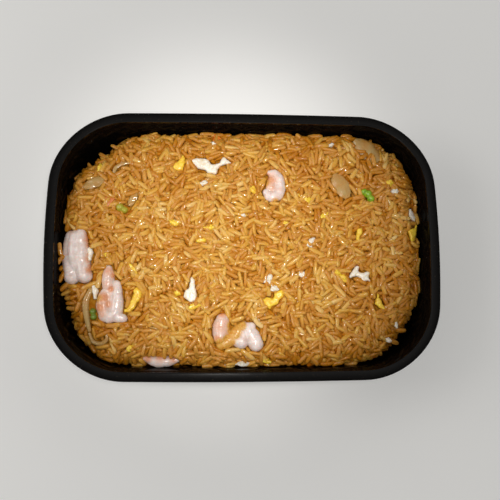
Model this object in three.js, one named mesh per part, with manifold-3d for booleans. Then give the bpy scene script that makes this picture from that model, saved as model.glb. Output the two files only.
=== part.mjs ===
// Shrimp fried rice, heaped in a black takeaway tray. Sizes are in millimetres and +Z is up. X runs
// along the tray, Y runs across it towards its back, and the origin is the centre of its foot.

import * as THREE from "three";
import { mergeVertices } from "three/addons/utils/BufferGeometryUtils.js";
import Module from "manifold-3d";

const wasm = await Module();
wasm.setup();

// The tray: one thin moulding, a rectangle with round corners whose ends bulge a little.
const TRAY = {
  length: 222,
  width: 152,
  height: 45,
  cornerRadius: 40,
  endBow: 5,
  sideBow: 1.3,
  wall: 0.9,
  lipDrop: 4.5,
  rimWidth: 4.6,
  seatInset: 5.3,
  seatDepth: 4,
  draftDegrees: 9.5,
  floorFillet: 6,
  footWidth: 8,
  panelRise: 0.9,
  edgeRound: 0.7,
  seatStep: 0.4,
};
const CORNER_STEPS = 6;
const SIDE_STEPS = 2;

// The heap of rice. Its reach is measured from the origin, and its corners are worn round.
const HEAP = {
  reachX: 103.5,
  reachBack: 69,
  reachFront: 67,
  cornerBackRight: 45,
  cornerBackLeft: 59,
  cornerFrontLeft: 53,
  cornerFrontRight: 57,
  crown: 37.2,
  dome: 1.4,
  shoulder: 14,
  edgeDrop: 7,
  swell: 0.4,
  wobble: 0.9,
  skirtSpread: 4,
};

// A cooked long grain, and how the grains lie.
const GRAIN = { length: 7.4, width: 2.2, sides: 5 };
const BUMP = { count: 392, ridge: 0.85, valley: 0.55, apart: 2.75 };
const LOOSE_GRAINS = 38;
const FRINGE_GRAINS = 60;
const OUTLINE_STEPS = 96;

const CLEARANCE = 0.35;
const TOP_OF_FOOD = 40.4;

// What lies in the rice. A roll is a round body along a spine of [x, y, radius].
const SHRIMPS = {
  shrimp_left: [
    {
      rise: 0.1,
      spine: [
        [-98.2, 5.6, 3.4], [-98.4, -6, 4.4], [-97, -17.4, 4.2],
      ],
    },
    {
      rise: 0.25,
      spine: [
        [-92.6, 6, 3.7], [-92, -6, 4.9], [-89.8, -16.6, 4.4],
      ],
    },
  ],
  shrimp_corner: [
    {
      rise: 0.3,
      spine: [
        [-76, -13, 1.9], [-76.4, -18, 3.5], [-76.6, -22.6, 3],
      ],
    },
    {
      rise: 0.15,
      spine: [
        [-78, -26.6, 2.6], [-79, -33, 3.8], [-77.4, -38.4, 4.2],
      ],
    },
    {
      rise: 0.3,
      spine: [
        [-71.4, -21.6, 2.1], [-71.3, -30, 3.4], [-72.4, -37.6, 4.1], [-75.6, -40.2, 3.4],
      ],
    },
    {
      rise: 0.2,
      spine: [
        [-71.6, -40.2, 2.8], [-68, -40.8, 2.5],
      ],
    },
  ],
  shrimp_back: [
    {
      rise: 0.25,
      spine: [
        [14.4, 43.2, 1.7], [18.4, 41.8, 2.7], [20.8, 36.4, 3.2], [19.2, 30.2, 3.3],
        [15, 28.8, 2.6], [12.8, 31.4, 2],
      ],
    },
    {
      rise: 0,
      spine: [
        [16.4, 39, 2.6], [15.8, 34.6, 3.2],
      ],
    },
  ],
  shrimp_front: [
    {
      rise: 0.15,
      spine: [
        [-12.8, -41.4, 3.4], [-13.2, -46.4, 4.8], [-14.2, -52, 3.3],
      ],
    },
    {
      rise: 0.2,
      spine: [
        [-4.4, -53.4, 3.2], [-1.8, -53.8, 4],
      ],
    },
    {
      rise: 0.25,
      spine: [
        [1.8, -46.8, 2.3], [4.2, -51, 4.5], [6.2, -55, 4.3],
      ],
    },
    {
      rise: 0.05,
      spine: [
        [-13.4, -56, 2.5], [-8.4, -53.4, 2.9], [-4.4, -48.6, 2.8], [-2, -45, 2],
      ],
    },
  ],
  shrimp_edge: [
    {
      rise: 0,
      spine: [
        [-55.5, -63, 1.4], [-50, -64.4, 3], [-43, -64.6, 2.8], [-37.5, -63.6, 1.2],
      ],
    },
  ],
};
const ROLL = { sides: 8, rings: 10, pinch: 0.06, tip: 0.45 };
const STRAND = { sides: 5, rings: 8 };

// Onion: petals are thin curved leaves, and strands are flattened rolls.
const PETALS = {
  onion_back_right: { at: [72.6, 57.6], length: 19, width: 10, turn: -42, arch: 1.8, lift: 2.2 },
  onion_centre: { at: [56.4, 35.6], length: 16, width: 9, turn: -62, arch: 1.2, lift: 1.5 },
  onion_left: { at: [-85.6, 36.2], length: 12.5, width: 5.6, turn: 24, arch: 1.2, lift: 1.7 },
  onion_chip: { at: [-63.4, 26.8], length: 8.6, width: 3.6, turn: 62, arch: 0.8, lift: 1.2 },
};
const PETAL = { thickness: 1.1, rows: 6, columns: 2 };
const STRANDS = {
  onion_curl: {
    rise: 0.6,
    flat: 0.6,
    spine: [
      [-75, 41.6, 1], [-73.6, 45.4, 1.2], [-70, 47.6, 1.2], [-66, 48.4, 0.9],
    ],
  },
  onion_strand: {
    rise: 0.5,
    flat: 0.6,
    spine: [
      [-86, -25, 1.4], [-88.6, -32, 2], [-88, -40, 1.8], [-86.6, -47, 1.2],
    ],
  },
  onion_ring: {
    rise: 0.6,
    flat: 0.8,
    spine: [
      [-86.6, -49, 0.9], [-84.6, -53.4, 1.2], [-80, -54.6, 1.3], [-76.6, -52.4, 1.2],
      [-77, -48.4, 0.9],
    ],
  },
};

// Scrambled egg: each piece is a torn sheet with an outline of [x, y], anticlockwise from above.
const EGGS = {
  egg_white_back: [
    [-30.6, 50.5], [-30.1, 47.3], [-28.4, 47], [-26.6, 45.2], [-23, 44.6], [-21.2, 42.7],
    [-18.9, 42.3], [-16, 41.8], [-15, 45.2], [-13.5, 46.9], [-10.6, 47.9], [-7.2, 48.7],
    [-10, 51.1], [-11.8, 52.6], [-13.2, 51.3], [-14, 48.7], [-17.1, 47.8], [-19.2, 47.8],
    [-20.4, 50.2], [-22.4, 51.2], [-27.8, 51.2],
  ],
  egg_white_front: [
    [-30.6, -18.4], [-30.8, -20.7], [-31.5, -24.2], [-33.4, -25.4], [-34.6, -29], [-32.5, -30.6],
    [-30.6, -31.8], [-29.2, -31.9], [-27.4, -30.4], [-26.8, -27.5], [-28, -23.1], [-28.2, -19.6],
    [-29.6, -17.2],
  ],
  egg_white_right: [
    [64.8, -10.8], [63.1, -12], [61.3, -14.6], [59.9, -17], [60.2, -18.4], [63.7, -17],
    [66.4, -18], [66.3, -19.4], [67.2, -20.1], [70.6, -19.9], [72.1, -20.4], [71, -16.8],
    [72, -15.4], [70.8, -14.2], [68.1, -15.3], [65.2, -14.6], [65.9, -11.7],
  ],
  egg_white_left: [
    [-87.2, -0.5], [-88.6, -2.3], [-87.8, -5.1], [-88.2, -7.1], [-87.2, -8.9], [-86.1, -8.7],
    [-85, -4.3], [-85.3, -1.9],
  ],
  egg_white_corner: [
    [-85.2, -20.6], [-85.6, -23.4], [-84.8, -26.6], [-84.4, -30], [-82.6, -30], [-82.2, -27.8],
    [-81.4, -25.4], [-83, -22.4],
  ],
  egg_white_end: [
    [98.5, 23.4], [96.8, 22.7], [96.3, 21.2], [95.3, 19.8], [96.6, 17.8], [98.5, 16.1],
    [100.6, 15.6], [101.2, 17.6], [100.1, 19.8], [99.2, 21.5],
  ],
  egg_yolk_back: [
    [-35, 53.4], [-36.1, 51.9], [-37.6, 49.8], [-39.9, 48.4], [-41.1, 46.4], [-40.5, 44.6],
    [-38.2, 43.4], [-35.2, 44], [-35, 45.8], [-34, 48.8], [-34, 51.3],
  ],
  egg_yolk_front: [
    [21.3, -24.6], [18.7, -25.6], [16.6, -26.7], [16.6, -28.9], [15.4, -30], [13.8, -29],
    [11.7, -29.3], [10, -30.5], [10.7, -32.4], [12.1, -34.7], [14.3, -35.8], [15.4, -34.3],
    [17.6, -33.3], [19.2, -32.8], [19.9, -30.3], [21.8, -29.1], [22.3, -27],
  ],
  egg_yolk_left: [
    [-60.8, -23.4], [-62.1, -25.3], [-62.3, -27.7], [-63.8, -31.3], [-64.5, -34.1], [-67.1, -36.1],
    [-67.1, -37.7], [-64.2, -37.7], [-61.4, -35.4], [-60.6, -33], [-58.2, -30.6], [-57.8, -26.6],
    [-59.2, -23.8],
  ],
  egg_yolk_end: [
    [100.9, 14.9], [99.8, 11.9], [96.3, 10.2], [95, 8.9], [96.1, 7], [96.3, 4.5],
    [97.5, 3.3], [99.1, 3.5], [100.3, 6.2], [101.4, 9.9], [101.8, 13.1],
  ],
  egg_yolk_right: [
    [67, 11.2], [65.4, 10.4], [65, 8.5], [64.4, 5.5], [64.5, 3.6], [65.4, 2.5],
    [66.5, 3.1], [67, 6], [68.2, 7.7], [68.4, 9.9],
  ],
  egg_yolk_corner: [
    [75.3, -26.3], [75.5, -28.9], [74.8, -30.5], [74.2, -32.9], [75.9, -34.6], [77.6, -35.8],
    [80, -37.2], [80, -35.1], [78.6, -32.9], [77.9, -30.5], [76.4, -29.6], [76.9, -27.9],
  ],
};
const EGG = { over: 2.1, under: 1.2, clearOf: 1.8 };
const CRUMB_HALF_HEIGHT = 1.3;
const CRUMB_LIFT = 0.7;

// Egg crumbs small enough to belong to the rice, each [x, y, half length, half width, turn].
const CRUMBS = [
  [13.6, -18.8, 2.4, 1.8, 60], [16.8, -24, 2, 1.8, 20], [38.2, 2.2, 2.6, 1.5, 60],
  [33, -16.2, 2.3, 1.5, 130], [-23, 36.4, 2.1, 1.2, 10], [88, 32.8, 2.1, 1.5, 0],
  [81.4, -52.6, 2.6, 1.2, 150], [87, -44, 2.2, 1, 100], [-17.8, 60, 1.4, 1.2, 0],
  [56.6, -18.2, 2.2, 1.5, 150], [53, -15, 1.6, 1.2, 0], [35, 28.2, 3.2, 1.4, 150],
  [5.2, 32.8, 1.8, 1.4, 90], [-19.6, 10.6, 2.6, 1.4, 10], [-24.6, 3.2, 2.6, 1.2, 5],
  [-40.6, 13.4, 2.6, 1.4, 160], [-28, -34.2, 3, 1.4, 20], [-37.8, -26.8, 1.6, 1.4, 0],
  [-77.6, -5.2, 1.9, 1.1, 15], [85, 37.6, 2, 1.5, 10], [11.8, -64.4, 2.4, 1.4, 160],
  [-63.4, -57.2, 1.8, 1.5, 20], [-82.8, 45.6, 2.4, 1.2, 80], [46.4, 18, 2.6, 1.2, 20],
];

// Peas and carrot.
const PEAS = {
  pea_right: [[69.8, 32.2, 2.1], [72.2, 30.9, 2.4], [73.8, 28.2, 2.3]],
  pea_left: [[-84.4, -37, 1.9], [-84, -40, 1.8]],
  pea_back_left: [[-70.6, 22, 2.4], [-68, 20.4, 1.9]],
};
const CARROTS = {
  carrot_back: { at: [-15.8, 64], radius: 3.1, height: 2.6, turn: 20 },
  carrot_left: { at: [-76.6, 25.6], radius: 3.4, height: 3, turn: 50 },
};

const FINISH = {
  tray: { color: 0x0b0a0a, roughness: 0.3 },
  rice: { color: 0xc98a3c, roughness: 0.45 },
  shrimp: { color: 0xe3c3b4, roughness: 0.35 },
  onion: { color: 0xb9a070, roughness: 0.3 },
  egg_white: { color: 0xf0e6d6, roughness: 0.5 },
  egg_yolk: { color: 0xf0cc3a, roughness: 0.5 },
  pea: { color: 0x63902a, roughness: 0.35 },
  carrot: { color: 0xd0651c, roughness: 0.45 },
};

const radians = THREE.MathUtils.degToRad;
const clamp = THREE.MathUtils.clamp;

// A seeded draw from 0 to 1, the same on every run.
function seeded(seed) {
  let state = seed;
  return () => {
    state = (state + 0x6d2b79f5) | 0;
    let t = Math.imul(state ^ (state >>> 15), 1 | state);
    t = (t + Math.imul(t ^ (t >>> 7), 61 | t)) ^ t;
    return ((t ^ (t >>> 14)) >>> 0) / 4294967296;
  };
}
const random = seeded(20);
const between = (low, high) => low + (high - low) * random();

// A closed body as a solid that can be cut and joined. Faces that point inwards are turned round.
function solid(positions, triangles) {
  const make = (faces) => {
    const geometry = new THREE.BufferGeometry();
    geometry.setAttribute("position", new THREE.Float32BufferAttribute(positions.flat(), 3));
    geometry.setIndex(faces.flat());
    return solidOf(geometry);
  };
  const made = make(triangles);
  return made.volume() > 0 ? made : make(triangles.map(([a, b, c]) => [a, c, b]));
}

function solidOf(source) {
  const geometry = source.clone();
  for (const name of ["normal", "uv"]) geometry.deleteAttribute(name);
  const merged = mergeVertices(geometry, 1e-4);
  return new wasm.Manifold(
    new wasm.Mesh({
      numProp: 3,
      vertProperties: new Float32Array(merged.attributes.position.array),
      triVerts: new Uint32Array(merged.index.array),
    }),
  );
}

// The edges that only one of the triangles has, each in that triangle's own direction.
function openEdges(triangles) {
  const edges = new Map();
  for (const [a, b, c] of triangles) {
    for (const [p, q] of [[a, b], [b, c], [c, a]]) {
      if (!edges.delete(`${q},${p}`)) edges.set(`${p},${q}`, [p, q]);
    }
  }
  return [...edges.values()];
}

// The largest body of a solid: loose scraps that a cut left are dropped.
function largest(made) {
  const bodies = made.decompose();
  return bodies.reduce((best, body) => (body.volume() > best.volume() ? body : best), bodies[0]);
}

function joined(solids) {
  return solids.reduce((all, one) => all.add(one));
}

function meshOf(name, made, finish) {
  const { vertProperties, triVerts } = made.getMesh();
  const geometry = new THREE.BufferGeometry();
  geometry.setAttribute("position", new THREE.BufferAttribute(vertProperties, 3));
  geometry.setIndex(new THREE.BufferAttribute(triVerts, 1));
  geometry.computeVertexNormals();
  const material = new THREE.MeshStandardMaterial({ ...FINISH[finish], metalness: 0, flatShading: true });
  const mesh = new THREE.Mesh(geometry, material);
  mesh.name = name;
  return mesh;
}

// Rings of equally many points, skinned in order, with a flat or pointed cap at each end.
function loft(rings, startTip, endTip) {
  const count = rings[0].length;
  const positions = [...rings.flat(), startTip, endTip];
  const [first, last] = [rings.length * count, rings.length * count + 1];
  const triangles = [];
  for (let j = 0; j < count; j++) {
    const k = (j + 1) % count;
    for (let i = 0; i + 1 < rings.length; i++) {
      const [a, b, c, d] = [i * count + j, i * count + k, (i + 1) * count + k, (i + 1) * count + j];
      triangles.push([a, b, c], [a, c, d]);
    }
    const end = (rings.length - 1) * count;
    triangles.push([k, j, first], [end + j, end + k, last]);
  }
  return solid(positions, triangles);
}

// One level line of the tray: its outer edge moved inwards by an inset, at a height.
function trayRing(inset, z) {
  const [halfX, halfY] = [TRAY.length / 2 - inset, TRAY.width / 2 - inset];
  const radius = TRAY.cornerRadius - inset;
  const corners = [[1, 1], [-1, 1], [-1, -1], [1, -1]].map(([sx, sy], quarter) =>
    Array.from({ length: CORNER_STEPS + 1 }, (_, i) => {
      const angle = radians(90 * (quarter + i / CORNER_STEPS));
      const [reachX, reachY] = [radius * Math.cos(angle), radius * Math.sin(angle)];
      return [sx * (halfX - radius) + reachX, sy * (halfY - radius) + reachY];
    }),
  );
  const flat = corners.flatMap((corner, quarter) => {
    const [from, to] = [corner.at(-1), corners[(quarter + 1) % 4][0]];
    const side = Array.from({ length: SIDE_STEPS - 1 }, (_, i) => {
      const share = (i + 1) / SIDE_STEPS;
      return [from[0] + (to[0] - from[0]) * share, from[1] + (to[1] - from[1]) * share];
    });
    return [...corner, ...side];
  });
  return flat.map(([x, y]) => [
    x - Math.sign(x) * TRAY.endBow * (y / (TRAY.width / 2)) ** 2,
    y - Math.sign(y) * TRAY.sideBow * (x / (TRAY.length / 2)) ** 2,
    z,
  ]);
}

// The inset of the tray's inner wall where it meets the curve of the floor.
const WALL_FOOT_Z = TRAY.wall + TRAY.floorFillet;
const WALL_FOOT_INSET =
  TRAY.seatInset + (TRAY.height - TRAY.seatDepth - WALL_FOOT_Z) * Math.tan(radians(TRAY.draftDegrees));

function tray() {
  const { height, wall, rimWidth, seatInset, floorFillet, panelRise, edgeRound, seatStep } = TRAY;
  const round = floorFillet * (1 - Math.SQRT1_2);
  const floorEdge = WALL_FOOT_INSET + floorFillet;
  const panelEdge = floorEdge + TRAY.footWidth;
  const seatZ = height - TRAY.seatDepth;
  const lipZ = height - TRAY.lipDrop;
  const inside = [
    [panelEdge + 2 * panelRise, wall + panelRise],
    [panelEdge, wall],
    [floorEdge, wall],
    [WALL_FOOT_INSET + round, wall + round],
    [WALL_FOOT_INSET, WALL_FOOT_Z],
    [seatInset, seatZ],
    [seatInset - seatStep, seatZ + 2 * seatStep],
    [rimWidth, height - edgeRound],
    [rimWidth - edgeRound, height],
    [edgeRound, height],
    [0, height - edgeRound],
    [0, lipZ],
  ];
  const outside = [
    [wall, lipZ],
    [wall, height - wall - seatStep],
    [wall + seatStep, height - wall],
    [rimWidth - wall - seatStep, height - wall],
    [rimWidth - wall, height - wall - seatStep],
    [seatInset - seatStep - wall, seatZ + seatStep],
    [seatInset - wall, seatZ - seatStep],
    [WALL_FOOT_INSET - wall, WALL_FOOT_Z],
    [WALL_FOOT_INSET + round - wall * Math.SQRT1_2, wall + round - wall * Math.SQRT1_2],
    [floorEdge, 0],
    [panelEdge, 0],
    [panelEdge + 2 * panelRise, panelRise],
  ];
  const profile = [...inside, ...outside];
  const rings = profile.map(([inset, z]) => trayRing(inset, z));
  return loft(rings, [0, 0, wall + panelRise], [0, 0, panelRise]);
}

// The room inside the tray that food may fill, a clearance away from its wall and floor.
function interior() {
  const levels = [
    [WALL_FOOT_INSET + TRAY.floorFillet * 0.45, TRAY.wall + TRAY.panelRise],
    [WALL_FOOT_INSET + TRAY.floorFillet * 0.28, TRAY.wall + TRAY.floorFillet * 0.3],
    [WALL_FOOT_INSET, WALL_FOOT_Z],
    [TRAY.seatInset, TRAY.height - TRAY.seatDepth],
    [TRAY.rimWidth, TRAY.height],
  ];
  const rings = levels.map(([inset, z]) => trayRing(inset + CLEARANCE, z + CLEARANCE));
  return loft(rings, [0, 0, rings[0][0][2]], [0, 0, rings.at(-1)[0][2]]);
}

// How far a point lies inside the heap's outline, below zero outside it.
function insideHeap(x, y) {
  const reachY = y > 0 ? HEAP.reachBack : HEAP.reachFront;
  const back = x > 0 ? HEAP.cornerBackRight : HEAP.cornerBackLeft;
  const front = x > 0 ? HEAP.cornerFrontRight : HEAP.cornerFrontLeft;
  const radius = y > 0 ? back : front;
  const [qx, qy] = [Math.abs(x) - HEAP.reachX + radius, Math.abs(y) - reachY + radius];
  const out = Math.hypot(Math.max(qx, 0), Math.max(qy, 0)) + Math.min(Math.max(qx, qy), 0) - radius;
  const angle = Math.atan2(y, x);
  return HEAP.wobble * (Math.sin(7 * angle + 1) + Math.sin(17 * angle)) - out;
}

// The top of the rice: a low dome whose shoulder falls away to the outline.
function heapHeight(x, y) {
  const level = clamp(insideHeap(x, y) / HEAP.shoulder, 0, 1);
  const bend = (x / HEAP.reachX) ** 2 + (y / HEAP.reachBack) ** 2;
  const swell = HEAP.swell * Math.sin(x / 15 + 0.6) * Math.cos(y / 12 - 0.4);
  return HEAP.crown - (HEAP.dome * bend) / 2 - HEAP.edgeDrop * (1 - level) ** 2 + swell;
}

// The heap's outline, where insideHeap is zero, found along each direction from the centre.
function outlinePoint(angle) {
  const [dx, dy] = [Math.cos(angle), Math.sin(angle)];
  let [near, far] = [20, 140];
  for (let i = 0; i < 30; i++) {
    const middle = (near + far) / 2;
    if (insideHeap(dx * middle, dy * middle) > 0) near = middle;
    else far = middle;
  }
  return [dx * near, dy * near];
}

// A round body along its spine, pinched like a shrimp's segments, and grown for use as a cutter.
function roll({ spine, rise, flat = 1 }, grow = 0, { sides, rings: steps, pinch = 0 } = ROLL) {
  const curve = new THREE.CatmullRomCurve3(spine.map((point) => new THREE.Vector3(...point)));
  const rings = [];
  const tips = [];
  for (let i = 0; i <= steps; i++) {
    const t = i / steps;
    const point = curve.getPoint(t);
    const along = curve.getTangent(t).setZ(0).normalize();
    const [sideX, sideY] = [-along.y, along.x];
    const blunt = i === 0 || i === steps ? 0.7 : 1;
    const radius = point.z * blunt * (1 - pinch * (i % 2)) + grow;
    const high = radius * flat + (flat < 1 ? grow * (1 - flat) : 0);
    const z = Math.min(heapHeight(point.x, point.y) + rise * point.z, TOP_OF_FOOD - point.z * flat);
    rings.push(
      Array.from({ length: sides }, (_, j) => {
        const angle = (2 * Math.PI * (j + 0.5)) / sides;
        const across = radius * Math.cos(angle);
        return [point.x + sideX * across, point.y + sideY * across, z + high * Math.sin(angle)];
      }),
    );
    if (i === 0 || i === steps) {
      const reach = (i === 0 ? -1 : 1) * (ROLL.tip * point.z + grow);
      tips.push([point.x + along.x * reach, point.y + along.y * reach, z]);
    }
  }
  return loft(rings, tips[0], tips[1]);
}

// A thin curved leaf with a pointed end, the same net of triangles above and below.
function petal({ at, length, width, turn, arch, lift }, grow = 0) {
  const [cos, sin] = [Math.cos(radians(turn)), Math.sin(radians(turn))];
  const base = heapHeight(...at) + lift;
  const face = (level) => {
    const points = [];
    for (let i = 0; i <= PETAL.rows; i++) {
      const u = (2 * i) / PETAL.rows - 1;
      const half = (width / 2) * Math.max(0.2, (1 - Math.abs(u) ** 2.4) ** 0.6) + grow;
      for (let j = 0; j <= PETAL.columns; j++) {
        const v = (2 * j) / PETAL.columns - 1;
        const [along, across] = [u * (length / 2 + grow), v * half];
        const [x, y] = [at[0] + along * cos - across * sin, at[1] + along * sin + across * cos];
        const wave = 0.25 * Math.sin(5 * u + 2 * v);
        points.push([x, y, base + level - arch * (0.6 * v * v + 0.4 * u * u) + wave]);
      }
    }
    return points;
  };
  const lower = face(-PETAL.thickness / 2 - grow);
  const upper = face(PETAL.thickness / 2 + grow);
  const [stride, count] = [PETAL.columns + 1, lower.length];
  const net = [];
  for (let i = 0; i < PETAL.rows; i++) {
    for (let j = 0; j < PETAL.columns; j++) {
      const a = i * stride + j;
      net.push([a, a + stride, a + stride + 1], [a, a + stride + 1, a + 1]);
    }
  }
  const triangles = net.flatMap(([a, b, c]) => [[a + count, b + count, c + count], [a, c, b]]);
  for (const [p, q] of openEdges(net)) triangles.push([q + count, p + count, p], [q + count, p, q]);
  return solid([...lower, ...upper], triangles);
}

// An anticlockwise outline with every corner moved outwards, so that its sides lie that much further out.
function grown(outline, grow) {
  const count = outline.length;
  const normals = outline.map(([x, y], i) => {
    const [nextX, nextY] = outline[(i + 1) % count];
    const length = Math.hypot(nextX - x, nextY - y);
    return [(nextY - y) / length, (x - nextX) / length];
  });
  return outline.map(([x, y], i) => {
    const [[ax, ay], [bx, by]] = [normals[(i + count - 1) % count], normals[i]];
    const share = grow / Math.max(1 + ax * bx + ay * by, 0.6);
    return new THREE.Vector2(x + (ax + bx) * share, y + (ay + by) * share);
  });
}

// A torn sheet of egg that follows the top of the heap, half sunk in it.
function sheet(outline, grow = 0) {
  const shape = new THREE.Shape(grown(outline, grow));
  const depth = EGG.over + EGG.under + 2 * grow;
  const geometry = new THREE.ExtrudeGeometry(shape, { depth, bevelEnabled: false, steps: 1 });
  const place = geometry.getAttribute("position");
  for (let i = 0; i < place.count; i++) {
    const level = heapHeight(place.getX(i), place.getY(i)) - EGG.under - grow;
    place.setZ(i, place.getZ(i) + level);
  }
  return solidOf(geometry);
}

// A few-sided bit of egg, fused to the rice.
function crumb([x, y, halfLength, halfWidth, turn]) {
  const geometry = new THREE.OctahedronGeometry(1, 0);
  geometry.rotateX(radians(3 * turn + 20));
  geometry.scale(halfLength * 1.2, halfWidth * 1.2, CRUMB_HALF_HEIGHT);
  geometry.rotateZ(radians(turn));
  geometry.translate(x, y, heapHeight(x, y) + CRUMB_LIFT);
  return solidOf(geometry);
}

function ball([x, y, radius], grow = 0) {
  const geometry = new THREE.SphereGeometry(radius + grow, 7, 4);
  geometry.translate(x, y, heapHeight(x, y) + 0.2 * radius);
  return solidOf(geometry);
}

// A bevelled slice of carrot that leans on its edge.
function chip({ at, radius, height, turn }, grow = 0) {
  const geometry = new THREE.CylinderGeometry(radius * 0.8 + grow, radius + grow, height + 2 * grow, 5);
  geometry.rotateX(radians(78));
  geometry.rotateZ(radians(turn));
  geometry.translate(at[0], at[1], heapHeight(...at) + 0.2);
  return solidOf(geometry);
}

// A few-sided grain of rice, lying at a point with a heading and a tilt in degrees.
function grain(x, y, z, heading, tilt, length) {
  const geometry = new THREE.CapsuleGeometry(GRAIN.width / 2, length - GRAIN.width, 1, GRAIN.sides);
  geometry.rotateX(radians(tilt));
  geometry.rotateZ(radians(heading - 90));
  geometry.translate(x, y, z);
  return solidOf(geometry);
}

// Every topping as a maker of its solid, grown or not, with its finish and the spots it covers.
function toppings() {
  const list = [];
  const rollSpots = (rolls) =>
    rolls.flatMap(({ spine }) => {
      const curve = new THREE.CatmullRomCurve3(spine.map((point) => new THREE.Vector3(...point)));
      return curve.getPoints(8).map((point) => [point.x, point.y, point.z]);
    });
  for (const [name, rolls] of Object.entries(SHRIMPS)) {
    const make = (grow) => joined(rolls.map((one) => roll(one, grow)));
    list.push({ name, finish: "shrimp", make, spots: rollSpots(rolls) });
  }
  for (const [name, strand] of Object.entries(STRANDS)) {
    const make = (grow) => roll(strand, grow, STRAND);
    list.push({ name, finish: "onion", make, spots: rollSpots([strand]) });
  }
  for (const [name, leaf] of Object.entries(PETALS)) {
    const [cos, sin] = [Math.cos(radians(leaf.turn)), Math.sin(radians(leaf.turn))];
    const spots = [-0.3, 0, 0.3].map((share) => [
      leaf.at[0] + share * leaf.length * cos,
      leaf.at[1] + share * leaf.length * sin,
      leaf.width * 0.4,
    ]);
    list.push({ name, finish: "onion", make: (grow) => petal(leaf, grow), spots });
  }
  for (const [name, outline] of Object.entries(EGGS)) {
    const finish = name.startsWith("egg_yolk") ? "egg_yolk" : "egg_white";
    const spots = outline.map(([x, y]) => [x, y, EGG.clearOf]);
    list.push({ name, finish, make: (grow) => sheet(outline, grow), spots });
  }
  for (const [name, balls] of Object.entries(PEAS)) {
    const make = (grow) => joined(balls.map((one) => ball(one, grow)));
    list.push({ name, finish: "pea", make, spots: balls });
  }
  for (const [name, cut] of Object.entries(CARROTS)) {
    const spots = [[...cut.at, cut.radius]];
    list.push({ name, finish: "carrot", make: (grow) => chip(cut, grow), spots });
  }
  return list;
}

// Delaunay triangles of flat points, adding one point at a time.
function triangulate(points) {
  const far = 1e4;
  const all = [...points, [-far, -far], [far, -far], [0, far]];
  const circled = (a, b, c) => {
    const [[ax, ay], [bx, by], [cx, cy]] = [all[a], all[b], all[c]];
    const twice = 2 * ((bx - ax) * (cy - ay) - (by - ay) * (cx - ax));
    const [bb, cc] = [(bx - ax) ** 2 + (by - ay) ** 2, (cx - ax) ** 2 + (cy - ay) ** 2];
    const ux = ((cy - ay) * bb - (by - ay) * cc) / twice;
    const uy = ((bx - ax) * cc - (cx - ax) * bb) / twice;
    return { corners: [a, b, c], x: ax + ux, y: ay + uy, reach: ux * ux + uy * uy };
  };
  let triangles = [circled(points.length, points.length + 1, points.length + 2)];
  points.forEach(([x, y], index) => {
    const isHit = (triangle) => (x - triangle.x) ** 2 + (y - triangle.y) ** 2 < triangle.reach;
    const hit = triangles.filter(isHit);
    triangles = triangles.filter((triangle) => !isHit(triangle));
    const rim = openEdges(hit.map(({ corners }) => corners));
    for (const [p, q] of rim) triangles.push(circled(p, q, index));
  });
  const isReal = (corners) => corners.every((index) => index < points.length);
  return triangles.map(({ corners }) => corners).filter(isReal);
}

// Grain-sized ridges all over the top: two high points along each grain and low ones round it.
function bumpPoints(isFree) {
  const points = [];
  const placed = [];
  const middle = (GRAIN.length - GRAIN.width) / 2;
  for (let tries = 0; placed.length < BUMP.count && tries < BUMP.count * 60; tries++) {
    const [x, y] = [between(-HEAP.reachX, HEAP.reachX), between(-HEAP.reachFront, HEAP.reachBack)];
    const angle = between(0, Math.PI);
    const [cos, sin] = [Math.cos(angle), Math.sin(angle)];
    const body = [-middle, 0, middle].map((step) => [x + step * cos, y + step * sin]);
    const isNear = ([ox, oy]) => body.some(([bx, by]) => Math.hypot(bx - ox, by - oy) < BUMP.apart);
    const crowded = placed.some((other) => other.some(isNear));
    if (crowded || insideHeap(x, y) < 3 || !isFree(x, y)) continue;
    placed.push(body);
    const raised = (along, across, rise) => {
      const [px, py] = [x + along * cos - across * sin, y + along * sin + across * cos];
      points.push([px, py, heapHeight(px, py) + rise]);
    };
    for (const side of [-1, 1]) {
      raised(side * middle * 0.8, 0, BUMP.ridge);
      raised(0, side * GRAIN.width * 0.6, -BUMP.valley);
    }
  }
  return points;
}

// The bare heap: its bumpy top, a skirt down to the floor, and a flat underside. With it comes the
// same heap a clearance larger, which the toppings are fitted to.
function heap(isFree) {
  const outline = Array.from({ length: OUTLINE_STEPS }, (_, i) => {
    const [x, y] = outlinePoint((2 * Math.PI * i) / OUTLINE_STEPS);
    return [x, y, heapHeight(x, y)];
  });
  const top = [...outline, ...bumpPoints(isFree).filter(([x, y]) => insideHeap(x, y) > 1.5)];
  const triangles = triangulate(top);
  const edges = openEdges(triangles);
  const positions = [...top];
  const foot = new Map();
  for (const [p] of edges) {
    const [x, y] = top[p];
    const share = 1 + HEAP.skirtSpread / Math.hypot(x, y);
    foot.set(p, positions.length);
    positions.push([x * share, y * share, 0]);
  }
  const centre = positions.length;
  positions.push([0, 0, 0]);
  for (const [p, q] of edges) {
    const [lowP, lowQ] = [foot.get(p), foot.get(q)];
    triangles.push([q, p, lowP], [q, lowP, lowQ], [lowQ, lowP, centre]);
  }
  const larger = positions.map(([x, y, z], index) => {
    const onSkirt = index < outline.length || index >= top.length;
    const share = onSkirt && index < centre ? 1 + CLEARANCE / Math.hypot(x, y) : 1;
    return [x * share, y * share, z + CLEARANCE];
  });
  return { bare: solid(positions, triangles), larger: solid(larger, triangles) };
}

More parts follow.
